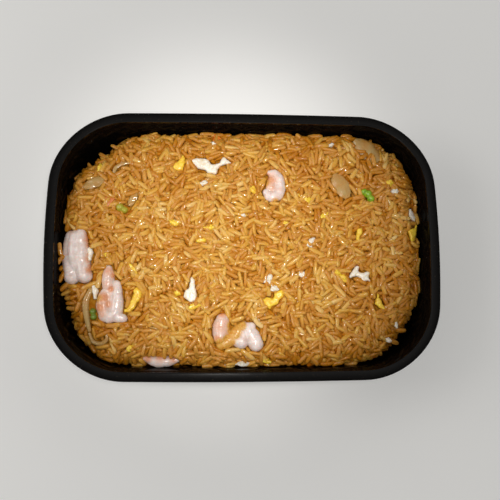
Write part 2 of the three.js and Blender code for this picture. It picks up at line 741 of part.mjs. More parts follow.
// Whole grains that show as such: loose ones on top, and a fringe leaning out over the outline.
function wholeGrains() {
  const made = [];
  while (made.length < LOOSE_GRAINS) {
    const [x, y] = [between(-HEAP.reachX, HEAP.reachX), between(-HEAP.reachFront, HEAP.reachBack)];
    if (insideHeap(x, y) < 6) continue;
    const length = GRAIN.length * between(0.85, 1.1);
    made.push(grain(x, y, heapHeight(x, y) + 0.7, between(0, 360), between(-8, 8), length));
  }
  for (let i = 0; i < FRINGE_GRAINS; i++) {
    const angle = (2 * Math.PI * (i + between(-0.3, 0.3))) / FRINGE_GRAINS;
    const [x, y] = outlinePoint(angle);
    const inward = 1 - 1.2 / Math.hypot(x, y);
    const z = heapHeight(x, y) + between(-1.5, 1);
    const heading = THREE.MathUtils.radToDeg(angle) + between(-45, 45);
    const tilt = between(-25, 5);
    made.push(grain(x * inward, y * inward, z, heading, tilt, GRAIN.length * between(0.8, 1.1)));
  }
  return made;
}

function dish() {
  const group = new THREE.Group();
  group.add(meshOf("tray", tray(), "tray"));
  const room = interior();
  const laid = toppings();
  const spots = laid.flatMap((one) => one.spots);
  const isFree = (x, y) => spots.every(([sx, sy, radius]) => Math.hypot(x - sx, y - sy) > radius);

  // Each topping is fitted to the bare heap and to the toppings laid before it. A grain or crumb
  // that would touch a topping is left out.
  const { bare, larger } = heap(isFree);
  const taken = [];
  for (const { name, finish, make } of laid) {
    const whole = make(0).intersect(room).subtract(larger);
    group.add(meshOf(name, largest(taken.reduce((left, other) => left.subtract(other), whole)), finish));
    taken.push(make(CLEARANCE));
  }
  const isClear = (piece) => taken.every((other) => other.intersect(piece).isEmpty());
  const loose = [...wholeGrains(), ...CRUMBS.map(crumb)].filter(isClear);
  group.add(meshOf("rice", largest(joined([bare, ...loose]).intersect(room)), "rice"));
  return group;
}

export default dish();
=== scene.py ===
"""Shrimp fried rice in a black takeaway tray: the tray, the grains and all that lies in them.

Sizes in the fields of the classes are millimetres and angles are degrees. X runs along the tray,
Y across it towards its back, and Z up. The meshes themselves are in metres.
"""

import logging
import math
from collections.abc import Iterator
from contextlib import contextmanager
from dataclasses import dataclass, field
from enum import Enum

import bmesh
import bpy
import numpy as np
from mathutils import Euler, Matrix, Vector, noise


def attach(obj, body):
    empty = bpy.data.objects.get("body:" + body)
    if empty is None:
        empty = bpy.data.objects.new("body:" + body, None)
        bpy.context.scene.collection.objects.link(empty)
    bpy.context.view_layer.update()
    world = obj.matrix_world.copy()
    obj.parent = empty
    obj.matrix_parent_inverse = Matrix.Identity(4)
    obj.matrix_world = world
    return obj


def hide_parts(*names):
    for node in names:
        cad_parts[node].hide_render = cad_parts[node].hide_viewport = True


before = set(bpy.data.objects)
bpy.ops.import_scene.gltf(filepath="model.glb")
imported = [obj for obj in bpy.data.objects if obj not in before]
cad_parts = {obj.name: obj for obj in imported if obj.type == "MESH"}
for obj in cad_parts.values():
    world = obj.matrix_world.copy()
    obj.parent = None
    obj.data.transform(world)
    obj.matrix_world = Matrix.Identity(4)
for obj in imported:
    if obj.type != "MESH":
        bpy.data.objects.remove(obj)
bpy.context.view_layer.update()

log = logging.getLogger("fried_rice")

MM = 0.001
NOISE_SEED = 3
Point = tuple[float, float, float]
Spot = tuple[float, float, float, float, float]
Array = np.ndarray


class Slot(Enum):
    """The material slots of the pieces."""

    TRAY = "tray"
    RICE = "rice"
    SHRIMP = "shrimp"
    ONION = "onion"
    EGG_WHITE = "egg_white"
    EGG_YOLK = "egg_yolk"
    PEA = "pea"
    CARROT = "carrot"


# Shader maths


def tint(red: int, green: int, blue: int) -> tuple[float, float, float, float]:
    """A screen colour from 0 to 255 as the linear colour that a socket takes.

    Args:
        red, green, blue: The colour as it looks on a screen.

    Returns:
        Its linear red, green and blue, and an alpha of one.
    """
    linear = [((c / 255 + 0.055) / 1.055) ** 2.4 if c > 10 else c / 255 / 12.92 for c in (red, green, blue)]
    return (*linear, 1.0)


class Wire:
    """An output socket of a graph, with arithmetic that adds Math nodes."""

    def __init__(self, graph: "Graph", socket: bpy.types.NodeSocket) -> None:
        """Keeps the graph and the socket."""
        self.graph = graph
        self.socket = socket

    def __add__(self, other: "Wire | float") -> "Wire":
        """This value plus another."""
        return self.graph.math("ADD", self, other)

    __radd__ = __add__

    def __mul__(self, other: "Wire | float") -> "Wire":
        """This value times another."""
        return self.graph.math("MULTIPLY", self, other)

    __rmul__ = __mul__

    def __sub__(self, other: "Wire | float") -> "Wire":
        """This value less another."""
        return self.graph.math("SUBTRACT", self, other)

    def __rsub__(self, other: "Wire | float") -> "Wire":
        """Another value less this one."""
        return self.graph.math("SUBTRACT", other, self)

    def between(self, low: float, high: float) -> "Wire":
        """A smooth step of this value, from 0 at low to 1 at high."""
        sockets = {"Value": self, "From Min": low, "From Max": high}
        return self.graph.add("ShaderNodeMapRange", {"interpolation_type": "SMOOTHSTEP"}, sockets)


class Graph:
    """A material's nodes, added one call at a time."""

    def __init__(self, name: str) -> None:
        """Starts a material with no nodes.

        Args:
            name: The material's name.
        """
        self.material = bpy.data.materials.new(name)
        self.material.use_nodes = True
        self.tree = self.material.node_tree
        self.tree.nodes.clear()

    def add(self, kind: str, settings: dict, sockets: dict, output: int = 0) -> Wire:
        """Adds one node.

        Args:
            kind: The node's type.
            settings: Its own choices, set first. The key "stops" holds a ramp's places and colours.
            sockets: Values or wires for its inputs, by name or number.
            output: Which of its outputs to return.

        Returns:
            The chosen output.
        """
        node = self.tree.nodes.new(kind)
        for key, value in settings.items():
            if key == "stops":
                self._set_stops(node.color_ramp, value)
            else:
                setattr(node, key, value)
        for key, value in sockets.items():
            if isinstance(value, Wire):
                self.tree.links.new(value.socket, node.inputs[key])
            else:
                node.inputs[key].default_value = value
        return Wire(self, node.outputs[output])

    @staticmethod
    def _set_stops(ramp: bpy.types.ColorRamp, stops: list[tuple]) -> None:
        """Gives a ramp its places and colours."""
        while len(ramp.elements) < len(stops):
            ramp.elements.new(0.5)
        for element, (place, colour) in zip(ramp.elements, stops):
            element.position = place
            element.color = colour

    def math(self, operation: str, first: Wire | float, second: Wire | float) -> Wire:
        """A Math node on two values."""
        return self.add("ShaderNodeMath", {"operation": operation}, {0: first, 1: second})

    def place(self) -> Wire:
        """The point on the piece, in metres."""
        return self.add("ShaderNodeTexCoord", {}, {}, output=3)

    def value(self, name: str) -> Wire:
        """A number that the piece's mesh keeps at each point."""
        return self.add("ShaderNodeAttribute", {"attribute_name": name}, {}, output=2)

    def speckle(self, size: float, detail: float = 2.0, warp: float = 0.0) -> Wire:
        """Noise with features of a size in millimetres.

        Args:
            size: How wide a light or dark patch is.
            detail: How many finer layers it has.
            warp: How much it is twisted.

        Returns:
            The noise, about 0.5 on average.
        """
        sockets = {"Vector": self.place(), "Scale": 1 / (size * MM), "Detail": detail, "Distortion": warp}
        return self.add("ShaderNodeTexNoise", {}, sockets)

    def ramp(self, amount: Wire, stops: list[tuple]) -> Wire:
        """Colours along a value."""
        return self.add("ShaderNodeValToRGB", {"stops": stops}, {"Fac": amount})

    def mix(self, amount: Wire | float, first: Wire | tuple, second: Wire | tuple) -> Wire:
        """A blend of two colours."""
        return self.add("ShaderNodeMix", {"data_type": "RGBA"}, {0: amount, 6: first, 7: second}, output=2)

    def bump(self, height: Wire, depth: float) -> Wire:
        """A relief for the Normal socket.

        Args:
            height: The relief, from 0 to 1.
            depth: Its depth in millimetres.

        Returns:
            The changed normal.
        """
        return self.add("ShaderNodeBump", {}, {"Strength": 1.0, "Distance": depth * MM, "Height": height})

    def surface(self, sockets: dict) -> bpy.types.Material:
        """Ends the graph in a Principled surface.

        Args:
            sockets: Values or wires for the shader's inputs.

        Returns:
            The material.
        """
        shader = self.add("ShaderNodeBsdfPrincipled", {}, sockets)
        end = self.tree.nodes.new("ShaderNodeOutputMaterial")
        self.tree.links.new(shader.socket, end.inputs["Surface"])
        return self.material


# Finishes


@dataclass(frozen=True)
class BlackPlastic:
    """Thin black moulded plastic, glossy, with a film of oil."""

    depth: float = 0.02

    def material(self) -> bpy.types.Material:
        """The tray's material."""
        graph = Graph("black_plastic")
        film = graph.speckle(9, 3, 0.4)
        specks = graph.speckle(0.7, 1).between(0.7, 0.78)
        base = graph.mix(film, tint(5, 4, 4), tint(10, 8, 7))
        return graph.surface({
            "Base Color": graph.mix(specks * 0.35, base, tint(92, 78, 60)),
            "Roughness": 0.12 + film * 0.12,
            "Specular IOR Level": 0.04,
            "Coat Weight": graph.value("gleam") * 0.5 + 0.1,
            "Coat Roughness": 0.04,
            "Normal": graph.bump(graph.speckle(2.2), self.depth),
        })


@dataclass(frozen=True)
class WetRice:
    """Cooked long grains stained by soy sauce. The tone of each grain is kept in its points, with painted
    shade towards the ends of the heap and painted highlights along the ridges mixed into it; shade darkens a
    whole copy evenly as painted shade for the grains that lie lower.
    """

    name: str = "wet_rice"
    # Painted shade: how much darker every grain of this copy is made; the darker copy goes on the grains that
    # lie lower.
    shade: float = 0.0
    gloss: float = 1.0

    def material(self) -> bpy.types.Material:
        """The grains' material."""
        graph = Graph(self.name)
        tone = graph.value("tone")
        stain = graph.speckle(26, 2)
        mottle = graph.speckle(1.3, 2)
        # The shade lowers the ramp for the whole copy: painted shade.
        amount = tone * 0.62 + stain * 0.5 + mottle * 0.22 - (0.17 + self.shade)
        colour = graph.ramp(amount, [
            (0.0, tint(170, 96, 12)),
            (0.22, tint(196, 128, 26)),
            (0.44, tint(204, 143, 60)),
            (0.6, tint(216, 162, 60)),
            (0.8, tint(224, 180, 100)),
            (1.0, tint(240, 212, 152)),
        ])
        return graph.surface({
            "Base Color": colour,
            "Roughness": 0.12 + mottle * 0.3,
            "Subsurface Weight": 0.35,
            "Subsurface Radius": (1.0, 0.85, 0.65),
            "Subsurface Scale": 0.7 * MM,
            "Specular IOR Level": 0.26 * self.gloss,
            "Coat Weight": graph.speckle(1.7).between(0.44, 0.6) * self.gloss,
            "Coat IOR": 1.55,
            "Coat Roughness": 0.1,
            "Normal": graph.bump(graph.speckle(0.55, 3), 0.26),
        })


@dataclass(frozen=True)
class SauceCore:
    """Rice and sauce seen down between the grains."""

    def material(self) -> bpy.types.Material:
        """The core's material."""
        graph = Graph("sauce_core")
        grit = graph.speckle(2.4, 3)
        return graph.surface({
            "Base Color": graph.ramp(grit, [(0.3, tint(190, 112, 12)), (0.7, tint(216, 150, 40))]),
            "Roughness": 0.6,
            "Specular IOR Level": 0.1,
            "Normal": graph.bump(grit, 1.2),
        })


@dataclass(frozen=True)
class CookedShrimp:
    """Pinkish white meat that blushes orange where its points say so."""

    def material(self) -> bpy.types.Material:
        """The shrimps' material."""
        graph = Graph("cooked_shrimp")
        cloud = graph.speckle(3.4, 3, 0.6)
        fine = graph.speckle(0.9, 2, 0.5)
        meat = graph.ramp(cloud, [(0.3, tint(222, 198, 188)), (0.62, tint(238, 224, 218))])
        blush = (graph.value("blush") * 1.2 + cloud * 0.5 + fine * 0.16 - 0.4).between(0.0, 1.0)
        skin = graph.ramp(fine, [(0.35, tint(214, 140, 92)), (0.65, tint(230, 168, 128))])
        sauce = (graph.value("stain") * 1.4 + cloud * 0.4 - 0.45).between(0.0, 0.7)
        glaze = graph.ramp(fine, [(0.35, tint(208, 142, 44)), (0.65, tint(222, 176, 84))])
        return graph.surface({
            "Base Color": graph.mix(sauce, graph.mix(blush, meat, skin), glaze),
            "Roughness": 0.4,
            "Subsurface Weight": 0.5,
            "Subsurface Radius": (1.0, 0.6, 0.45),
            "Subsurface Scale": 2.0 * MM,
            "Coat Weight": 0.6,
            "Coat Roughness": 0.12,
            "Normal": graph.bump(fine, 0.1),
        })


@dataclass(frozen=True)
class SoftOnion:
    """Half clear cooked onion with fine fibres along it."""

    def material(self) -> bpy.types.Material:
        """The onions' material."""
        graph = Graph("soft_onion")
        across = graph.value("across")
        fibre = graph.math("SINE", across * 9.0 + graph.speckle(2.5) * 3.0, 0.0) * 0.5 + 0.5
        cloud = graph.speckle(5, 2)
        flesh = graph.ramp(cloud, [(0.3, tint(204, 146, 62)), (0.7, tint(198, 164, 98))])
        return graph.surface({
            "Base Color": graph.mix(fibre * 0.2, flesh, tint(216, 196, 144)),
            "Roughness": 0.3,
            "IOR": 1.38,
            "Transmission Weight": 0.2,
            "Subsurface Weight": 0.5,
            "Subsurface Radius": (1.0, 0.85, 0.6),
            "Subsurface Scale": 1.0 * MM,
            "Coat Weight": 0.8,
            "Coat Roughness": 0.08,
            "Normal": graph.bump(fibre * 0.3 + cloud * 0.7, 0.12),
        })


@dataclass(frozen=True)
class ScrambledEgg:
    """Set egg, craggy and a little wet, in one of its two colours."""

    name: str
    dull: tuple[int, int, int]
    bright: tuple[int, int, int]
    stain: tuple[int, int, int]
    crag: float = 0.3

    def material(self) -> bpy.types.Material:
        """The egg's material."""
        graph = Graph(self.name)
        curd = graph.speckle(1.1, 3, 0.3)
        body = graph.ramp(curd, [(0.3, tint(*self.dull)), (0.6, tint(*self.bright))])
        sauce = graph.speckle(4.5, 2).between(0.56, 0.78)
        return graph.surface({
            "Base Color": graph.mix(sauce * 0.6, body, tint(*self.stain)),
            "Roughness": 0.42,
            "Subsurface Weight": 0.3,
            "Subsurface Radius": (1.0, 0.8, 0.5),
            "Subsurface Scale": 1.0 * MM,
            "Coat Weight": 0.35,
            "Coat Roughness": 0.18,
            "Normal": graph.bump(curd, self.crag),
        })


@dataclass(frozen=True)
class WetVegetable:
    """A cooked bit of vegetable, wet, in two tones."""

    name: str
    dark: tuple[int, int, int]
    light: tuple[int, int, int]
    grain: float = 1.4

    def material(self) -> bpy.types.Material:
        """The vegetable's material."""
        graph = Graph(self.name)
        patch = graph.speckle(self.grain, 2, 0.4)
        return graph.surface({
            "Base Color": graph.ramp(patch, [(0.32, tint(*self.dark)), (0.68, tint(*self.light))]),
            "Roughness": 0.3,
            "Subsurface Weight": 0.2,
            "Subsurface Radius": (0.8, 0.8, 0.3),
            "Subsurface Scale": 1.0 * MM,
            "Coat Weight": 0.6,
            "Coat Roughness": 0.1,
            "Normal": graph.bump(patch, 0.18),
        })


@dataclass(frozen=True)
class ClearOil:
    """Beads of oil and sauce."""

    def material(self) -> bpy.types.Material:
        """The beads' material."""
        graph = Graph("clear_oil")
        cloud = graph.speckle(1.5)
        return graph.surface({
            "Base Color": graph.ramp(cloud, [(0.3, tint(120, 80, 30)), (0.7, tint(190, 150, 90))]),
            "Roughness": 0.08,
            "Transmission Weight": 0.6,
            "IOR": 1.45,
        })


@dataclass(frozen=True)
class PaleBoard:
    """The plain pale surface that the tray stands on."""

    def material(self) -> bpy.types.Material:
        """The floor's material."""
        graph = Graph("pale_board")
        cloud = graph.speckle(60, 2)
        return graph.surface({
            "Base Color": graph.mix(cloud, tint(238, 238, 237), tint(242, 242, 241)),
            "Roughness": 0.7,
            "Emission Color": tint(255, 255, 252),
            "Emission Strength": 0.2,
        })


# Modelling by hand


def only(piece: bpy.types.Object) -> None:
    """Selects one object and nothing else."""
    bpy.ops.object.select_all(action="DESELECT")
    piece.select_set(True)
    bpy.context.view_layer.objects.active = piece


@contextmanager
def editing(piece: bpy.types.Object) -> Iterator[None]:
    """Opens a piece in edit mode and leaves it again.

    Args:
        piece: The object to edit.

    Returns:
        A context in which the piece is in edit mode.
    """
    only(piece)
    bpy.ops.object.mode_set(mode="EDIT")
    yield
    bpy.ops.object.mode_set(mode="OBJECT")


def modify(piece: bpy.types.Object, kind: str, **settings: object) -> None:
    """Adds a modifier and applies it.

    Args:
        piece: The object.
        kind: The modifier's type.
        settings: Its values.
    """
    only(piece)
    modifier = piece.modifiers.new(kind.lower(), kind)
    for key, value in settings.items():
        setattr(modifier, key, value)
    bpy.ops.object.modifier_apply(modifier=modifier.name)


def points_of(piece: bpy.types.Object) -> Array:
    """The points of a piece in millimetres, one row each."""
    flat = np.empty(3 * len(piece.data.vertices))
    piece.data.vertices.foreach_get("co", flat)
    return flat.reshape(-1, 3) / MM


def set_points(piece: bpy.types.Object, points: Array) -> None:
    """Moves the points of a piece to places in millimetres."""
    piece.data.vertices.foreach_set("co", (points * MM).ravel())
    piece.data.update()


def normals_of(piece: bpy.types.Object) -> Array:
    """The normal at each point of a piece."""
    return np.array([vertex.normal for vertex in piece.data.vertices])


def keep_value(piece: bpy.types.Object, name: str, values: Array) -> None:
    """Keeps a number at each point for the material to read."""
    piece.data.attributes.new(name, "FLOAT", "POINT").data.foreach_set("value", values.astype(np.float32))


def fixed(piece: bpy.types.Object) -> bpy.types.Object:
    """Moves a piece's place, turn and scale into its mesh."""
    only(piece)
    bpy.ops.object.transform_apply(location=True, rotation=True, scale=True)
    return piece


def joined(pieces: list[bpy.types.Object]) -> bpy.types.Object:
    """Joins pieces into the first of them, with its place in its mesh."""
    only(pieces[0])
    for piece in pieces:
        piece.select_set(True)
    bpy.ops.object.join()
    return fixed(pieces[0])


def taken_apart(piece: bpy.types.Object) -> tuple[Array, Array]:
    """Reads the points and faces of a piece and removes it.

    Args:
        piece: The object.

    Returns:
        Its points in millimetres, one row each, and the point numbers of each face.
    """
    points = points_of(piece)
    faces = np.array([list(face.vertices) for face in piece.data.polygons])
    bpy.data.objects.remove(piece)
    return points, faces


def select_open_edges(piece: bpy.types.Object) -> None:
    """Selects the edges that only one face has, in edit mode."""
    bpy.ops.mesh.select_mode(type="EDGE")
    bpy.ops.mesh.select_all(action="DESELECT")
    sheet = bmesh.from_edit_mesh(piece.data)
    for edge in sheet.edges:
        edge.select_set(edge.is_boundary)
    bmesh.update_edit_mesh(piece.data)


def face_outward() -> None:
    """Turns all faces of the piece in edit mode outward."""
    bpy.ops.mesh.select_all(action="SELECT")
    bpy.ops.mesh.normals_make_consistent(inside=False)


def shade_smooth(piece: bpy.types.Object, sharp: float) -> None:
    """Shades a piece smoothly but for the edges that bend by more than an angle."""
    only(piece)
    bpy.ops.object.shade_smooth_by_angle(angle=math.radians(sharp))


def mesh_piece(name: str, points: Array, faces: Array) -> bpy.types.Object:
    """A smooth piece from points in millimetres and faces.

    Args:
        name: The object's name.
        points: One row for each point.
        faces: One row of point numbers for each face.

    Returns:
        The new object.
    """
    mesh = bpy.data.meshes.new(name)
    mesh.from_pydata((points * MM).tolist(), [], faces.tolist())
    mesh.polygons.foreach_set("use_smooth", np.ones(len(mesh.polygons), dtype=bool))
    piece = bpy.data.objects.new(name, mesh)
    bpy.context.scene.collection.objects.link(piece)
    return piece


def settle(piece: bpy.types.Object, name: str, slot: Slot, material: bpy.types.Material,
           *nodes: str) -> None:
    """Names and dresses a finished piece, hangs it under the root body and hides the CAD nodes that it stands
    for.

    Args:
        piece: The finished object.
        name: Its name.
        slot: Its material slot. It is not used.
        material: Its material.
        nodes: The CAD nodes that it stands for.
    """
    piece.name = name
    piece.data.name = name
    piece.data.materials.clear()
    piece.data.materials.append(material)
    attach(piece, "root")
    if nodes:
        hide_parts(*nodes)
    log.info("%s: %d points", name, len(piece.data.vertices))


def ripple(points: Array, size: float, seed: int) -> Array:
    """Smooth noise at points in millimetres.

    Args:
        points: One row for each point.
        size: How wide its features are.
        seed: Where in the noise to look.

    Returns:
        A number from about -1 to 1 for each point.
    """
    shift = Vector((seed * 17.3, seed * 5.1, seed * 9.7))
    return np.array([noise.noise(Vector(point) / size + shift) for point in points])


def warp(points: Array, size: float, seed: int) -> Array:
    """Smooth sideways noise at points in millimetres.

    Args:
        points: One row for each point.
        size: How wide its features are.
        seed: Where in the noise to look.

    Returns:
        A shift with three numbers, each from about -1 to 1, for each point.
    """
    shift = Vector((seed * 7.7, seed * 15.1, seed * 3.3))
    return np.array([noise.noise_vector(Vector(point) / size + shift) for point in points])


def curve_through(knots: list[Point], steps: int) -> Array:
    """Points on a smooth curve through knots.

    Args:
        knots: Where the curve passes.
        steps: How many points to return for each stretch.

    Returns:
        One row for each point.
    """
    before = 2 * np.array(knots[0]) - knots[1]
    beyond = 2 * np.array(knots[-1]) - knots[-2]
    padded = [before, *map(np.array, knots), beyond]
    rows = []
    for a, b, c, d in zip(padded, padded[1:], padded[2:], padded[3:]):
        for t in np.linspace(0, 1, steps, endpoint=False):
            rows.append(0.5 * (2 * b + (c - a) * t + (2 * a - 5 * b + 4 * c - d) * t**2
                               + (3 * b - a - 3 * c + d) * t**3))
    return np.array([*rows, knots[-1]])


# The tray


@dataclass
class Tray:
    """One thin black moulding with round corners, a flat rim and a step for its lid."""

    length: float = 222
    width: float = 152
    height: float = 45
    corner_radius: float = 40
    end_bow: float = 5
    side_bow: float = 1.3
    wall: float = 0.9
    lip_drop: float = 4.5
    rim_width: float = 4.6
    seat_inset: float = 5.3
    seat_depth: float = 4
    draft: float = 9.5
    floor_fillet: float = 6
    foot_width: float = 8
    panel_rise: float = 0.9
    edge_round: float = 0.7
    corner_points: int = 20
    side_points: int = 12
    gleam_depth: float = 1.5
    sharp: float = 28

    @property
    def wall_foot(self) -> tuple[float, float]:
        """The inset and the height at which the inner wall meets the curve of the floor."""
        low = self.wall + self.floor_fillet
        run = (self.height - self.seat_depth - low) * math.tan(math.radians(self.draft))
        return self.seat_inset + run, low

    def inset_at(self, x: Array, y: Array) -> Array:
        """How far points lie inside the outer edge, seen from above."""
        x = x + np.sign(x) * self.end_bow * (y / (self.width / 2)) ** 2
        y = y + np.sign(y) * self.side_bow * (x / (self.length / 2)) ** 2
        qx = np.abs(x) - self.length / 2 + self.corner_radius
        qy = np.abs(y) - self.width / 2 + self.corner_radius
        outside = np.hypot(np.maximum(qx, 0), np.maximum(qy, 0)) + np.minimum(np.maximum(qx, qy), 0)
        return self.corner_radius - outside

    def room(self, x: Array, y: Array, z: Array) -> Array:
        """How far points are from the inner wall, below zero behind it."""
        inset, low = self.wall_foot
        below = np.clip((low - z) / self.floor_fillet, 0, 1)
        curve = self.floor_fillet * (1 - np.sqrt(1 - below**2))
        slope = (self.seat_inset - inset) / (self.height - self.seat_depth - low)
        return self.inset_at(x, y) - (inset + slope * (np.maximum(z, low) - low) + curve)

    def _outline(self) -> list[tuple[float, float]]:
        """The outer edge before its sides bow, anticlockwise from the right."""
        radius = self.corner_radius
        flat = []
        for quarter, (sx, sy) in enumerate([(1, 1), (-1, 1), (-1, -1), (1, -1)]):
            for i in range(self.corner_points + 1):
                angle = math.radians(90 * (quarter + i / self.corner_points))
                flat.append((sx * (self.length / 2 - radius) + radius * math.cos(angle),
                             sy * (self.width / 2 - radius) + radius * math.sin(angle)))
            ahead = [(-1, 1), (-1, -1), (1, -1), (1, 1)][quarter]
            angle = math.radians(90 * (quarter + 1))
            end = (ahead[0] * (self.length / 2 - radius) + radius * math.cos(angle),
                   ahead[1] * (self.width / 2 - radius) + radius * math.sin(angle))
            x, y = flat[-1]
            for i in range(1, self.side_points):
                share = i / self.side_points
                flat.append((x + (end[0] - x) * share, y + (end[1] - y) * share))
        return flat

    def _profile(self) -> list[tuple[float, float]]:
        """Insets and heights from the rim's outer edge down to the floor panel."""
        turn = [math.radians(a) for a in (22.5, 45, 67.5, 90)]
        edge, top = self.edge_round, self.height
        rows = [(edge * (1 - math.cos(a)), top - edge * (1 - math.sin(a))) for a in turn]
        inner = self.rim_width
        rows += [(inner - edge * math.cos(a), top - edge * (1 - math.sin(a))) for a in reversed(turn)]
        rows.append((inner, top - edge))
        seat = top - self.seat_depth
        rows += [(inner + 0.1, seat + 1.2), (self.seat_inset - 0.35, seat + 0.5), (self.seat_inset, seat)]
        inset, low = self.wall_foot
        run, drop = inset - self.seat_inset, low - seat
        rows += [(self.seat_inset + run * share, seat + drop * share) for share in (0.35, 0.7, 1)]
        for a in (15, 30, 45, 60, 75, 90):
            bend = math.radians(a)
            rows.append((inset + self.floor_fillet * (1 - math.cos(bend)),
                         self.wall + self.floor_fillet * (1 - math.sin(bend))))
        panel = inset + self.floor_fillet + self.foot_width
        rows += [(panel, self.wall), (panel + 0.6, self.wall + 0.2),
                 (panel + 1.2, self.wall + self.panel_rise - 0.2), (panel + 1.8, self.wall + self.panel_rise)]
        return rows

    def build(self) -> None:
        """Models the tray by insetting its outline down its profile, and dresses it."""
        outline = self._outline()
        bpy.ops.object.select_all(action="DESELECT")
        start = self.height - self.edge_round
        bpy.ops.mesh.primitive_circle_add(
            vertices=len(outline), radius=self.width / 2 * MM, fill_type="NGON", location=(0, 0, start * MM))
        piece = fixed(bpy.context.object)
        points = points_of(piece)
        order = np.argsort(np.arctan2(points[:, 1], points[:, 0]))
        first = int(np.argmin([math.atan2(y, x) for x, y in outline]))
        for rank, index in enumerate(order):
            points[index, :2] = outline[(first + rank) % len(outline)]
        set_points(piece, points)
        with editing(piece):
            face_outward()
            inset, level = 0.0, start
            for next_inset, next_level in self._profile():
                bpy.ops.mesh.inset(thickness=(next_inset - inset) * MM, depth=(next_level - level) * MM,
                                   use_even_offset=True)
                inset, level = next_inset, next_level
            select_open_edges(piece)
            drop = (start - (self.height - self.lip_drop)) * MM
            bpy.ops.mesh.extrude_region_move(TRANSFORM_OT_translate={"value": (0, 0, -drop)})
        points = points_of(piece)
        x, y = points[:, 0].copy(), points[:, 1].copy()
        points[:, 0] = x - np.sign(x) * self.end_bow * (y / (self.width / 2)) ** 2
        points[:, 1] = y - np.sign(y) * self.side_bow * (x / (self.length / 2)) ** 2
        set_points(piece, points)
        modify(piece, "SOLIDIFY", thickness=self.wall * MM, offset=-1, use_even_offset=True)
        points = points_of(piece)
        inner = self.inset_at(points[:, 0], points[:, 1]) > self.rim_width - self.edge_round - 0.1
        high = points[:, 2] > self.height - self.gleam_depth
        keep_value(piece, "gleam", (inner & high).astype(float))
        shade_smooth(piece, self.sharp)
        settle(piece, "tray_shell", Slot.TRAY, BlackPlastic().material(), "tray")


# The heap


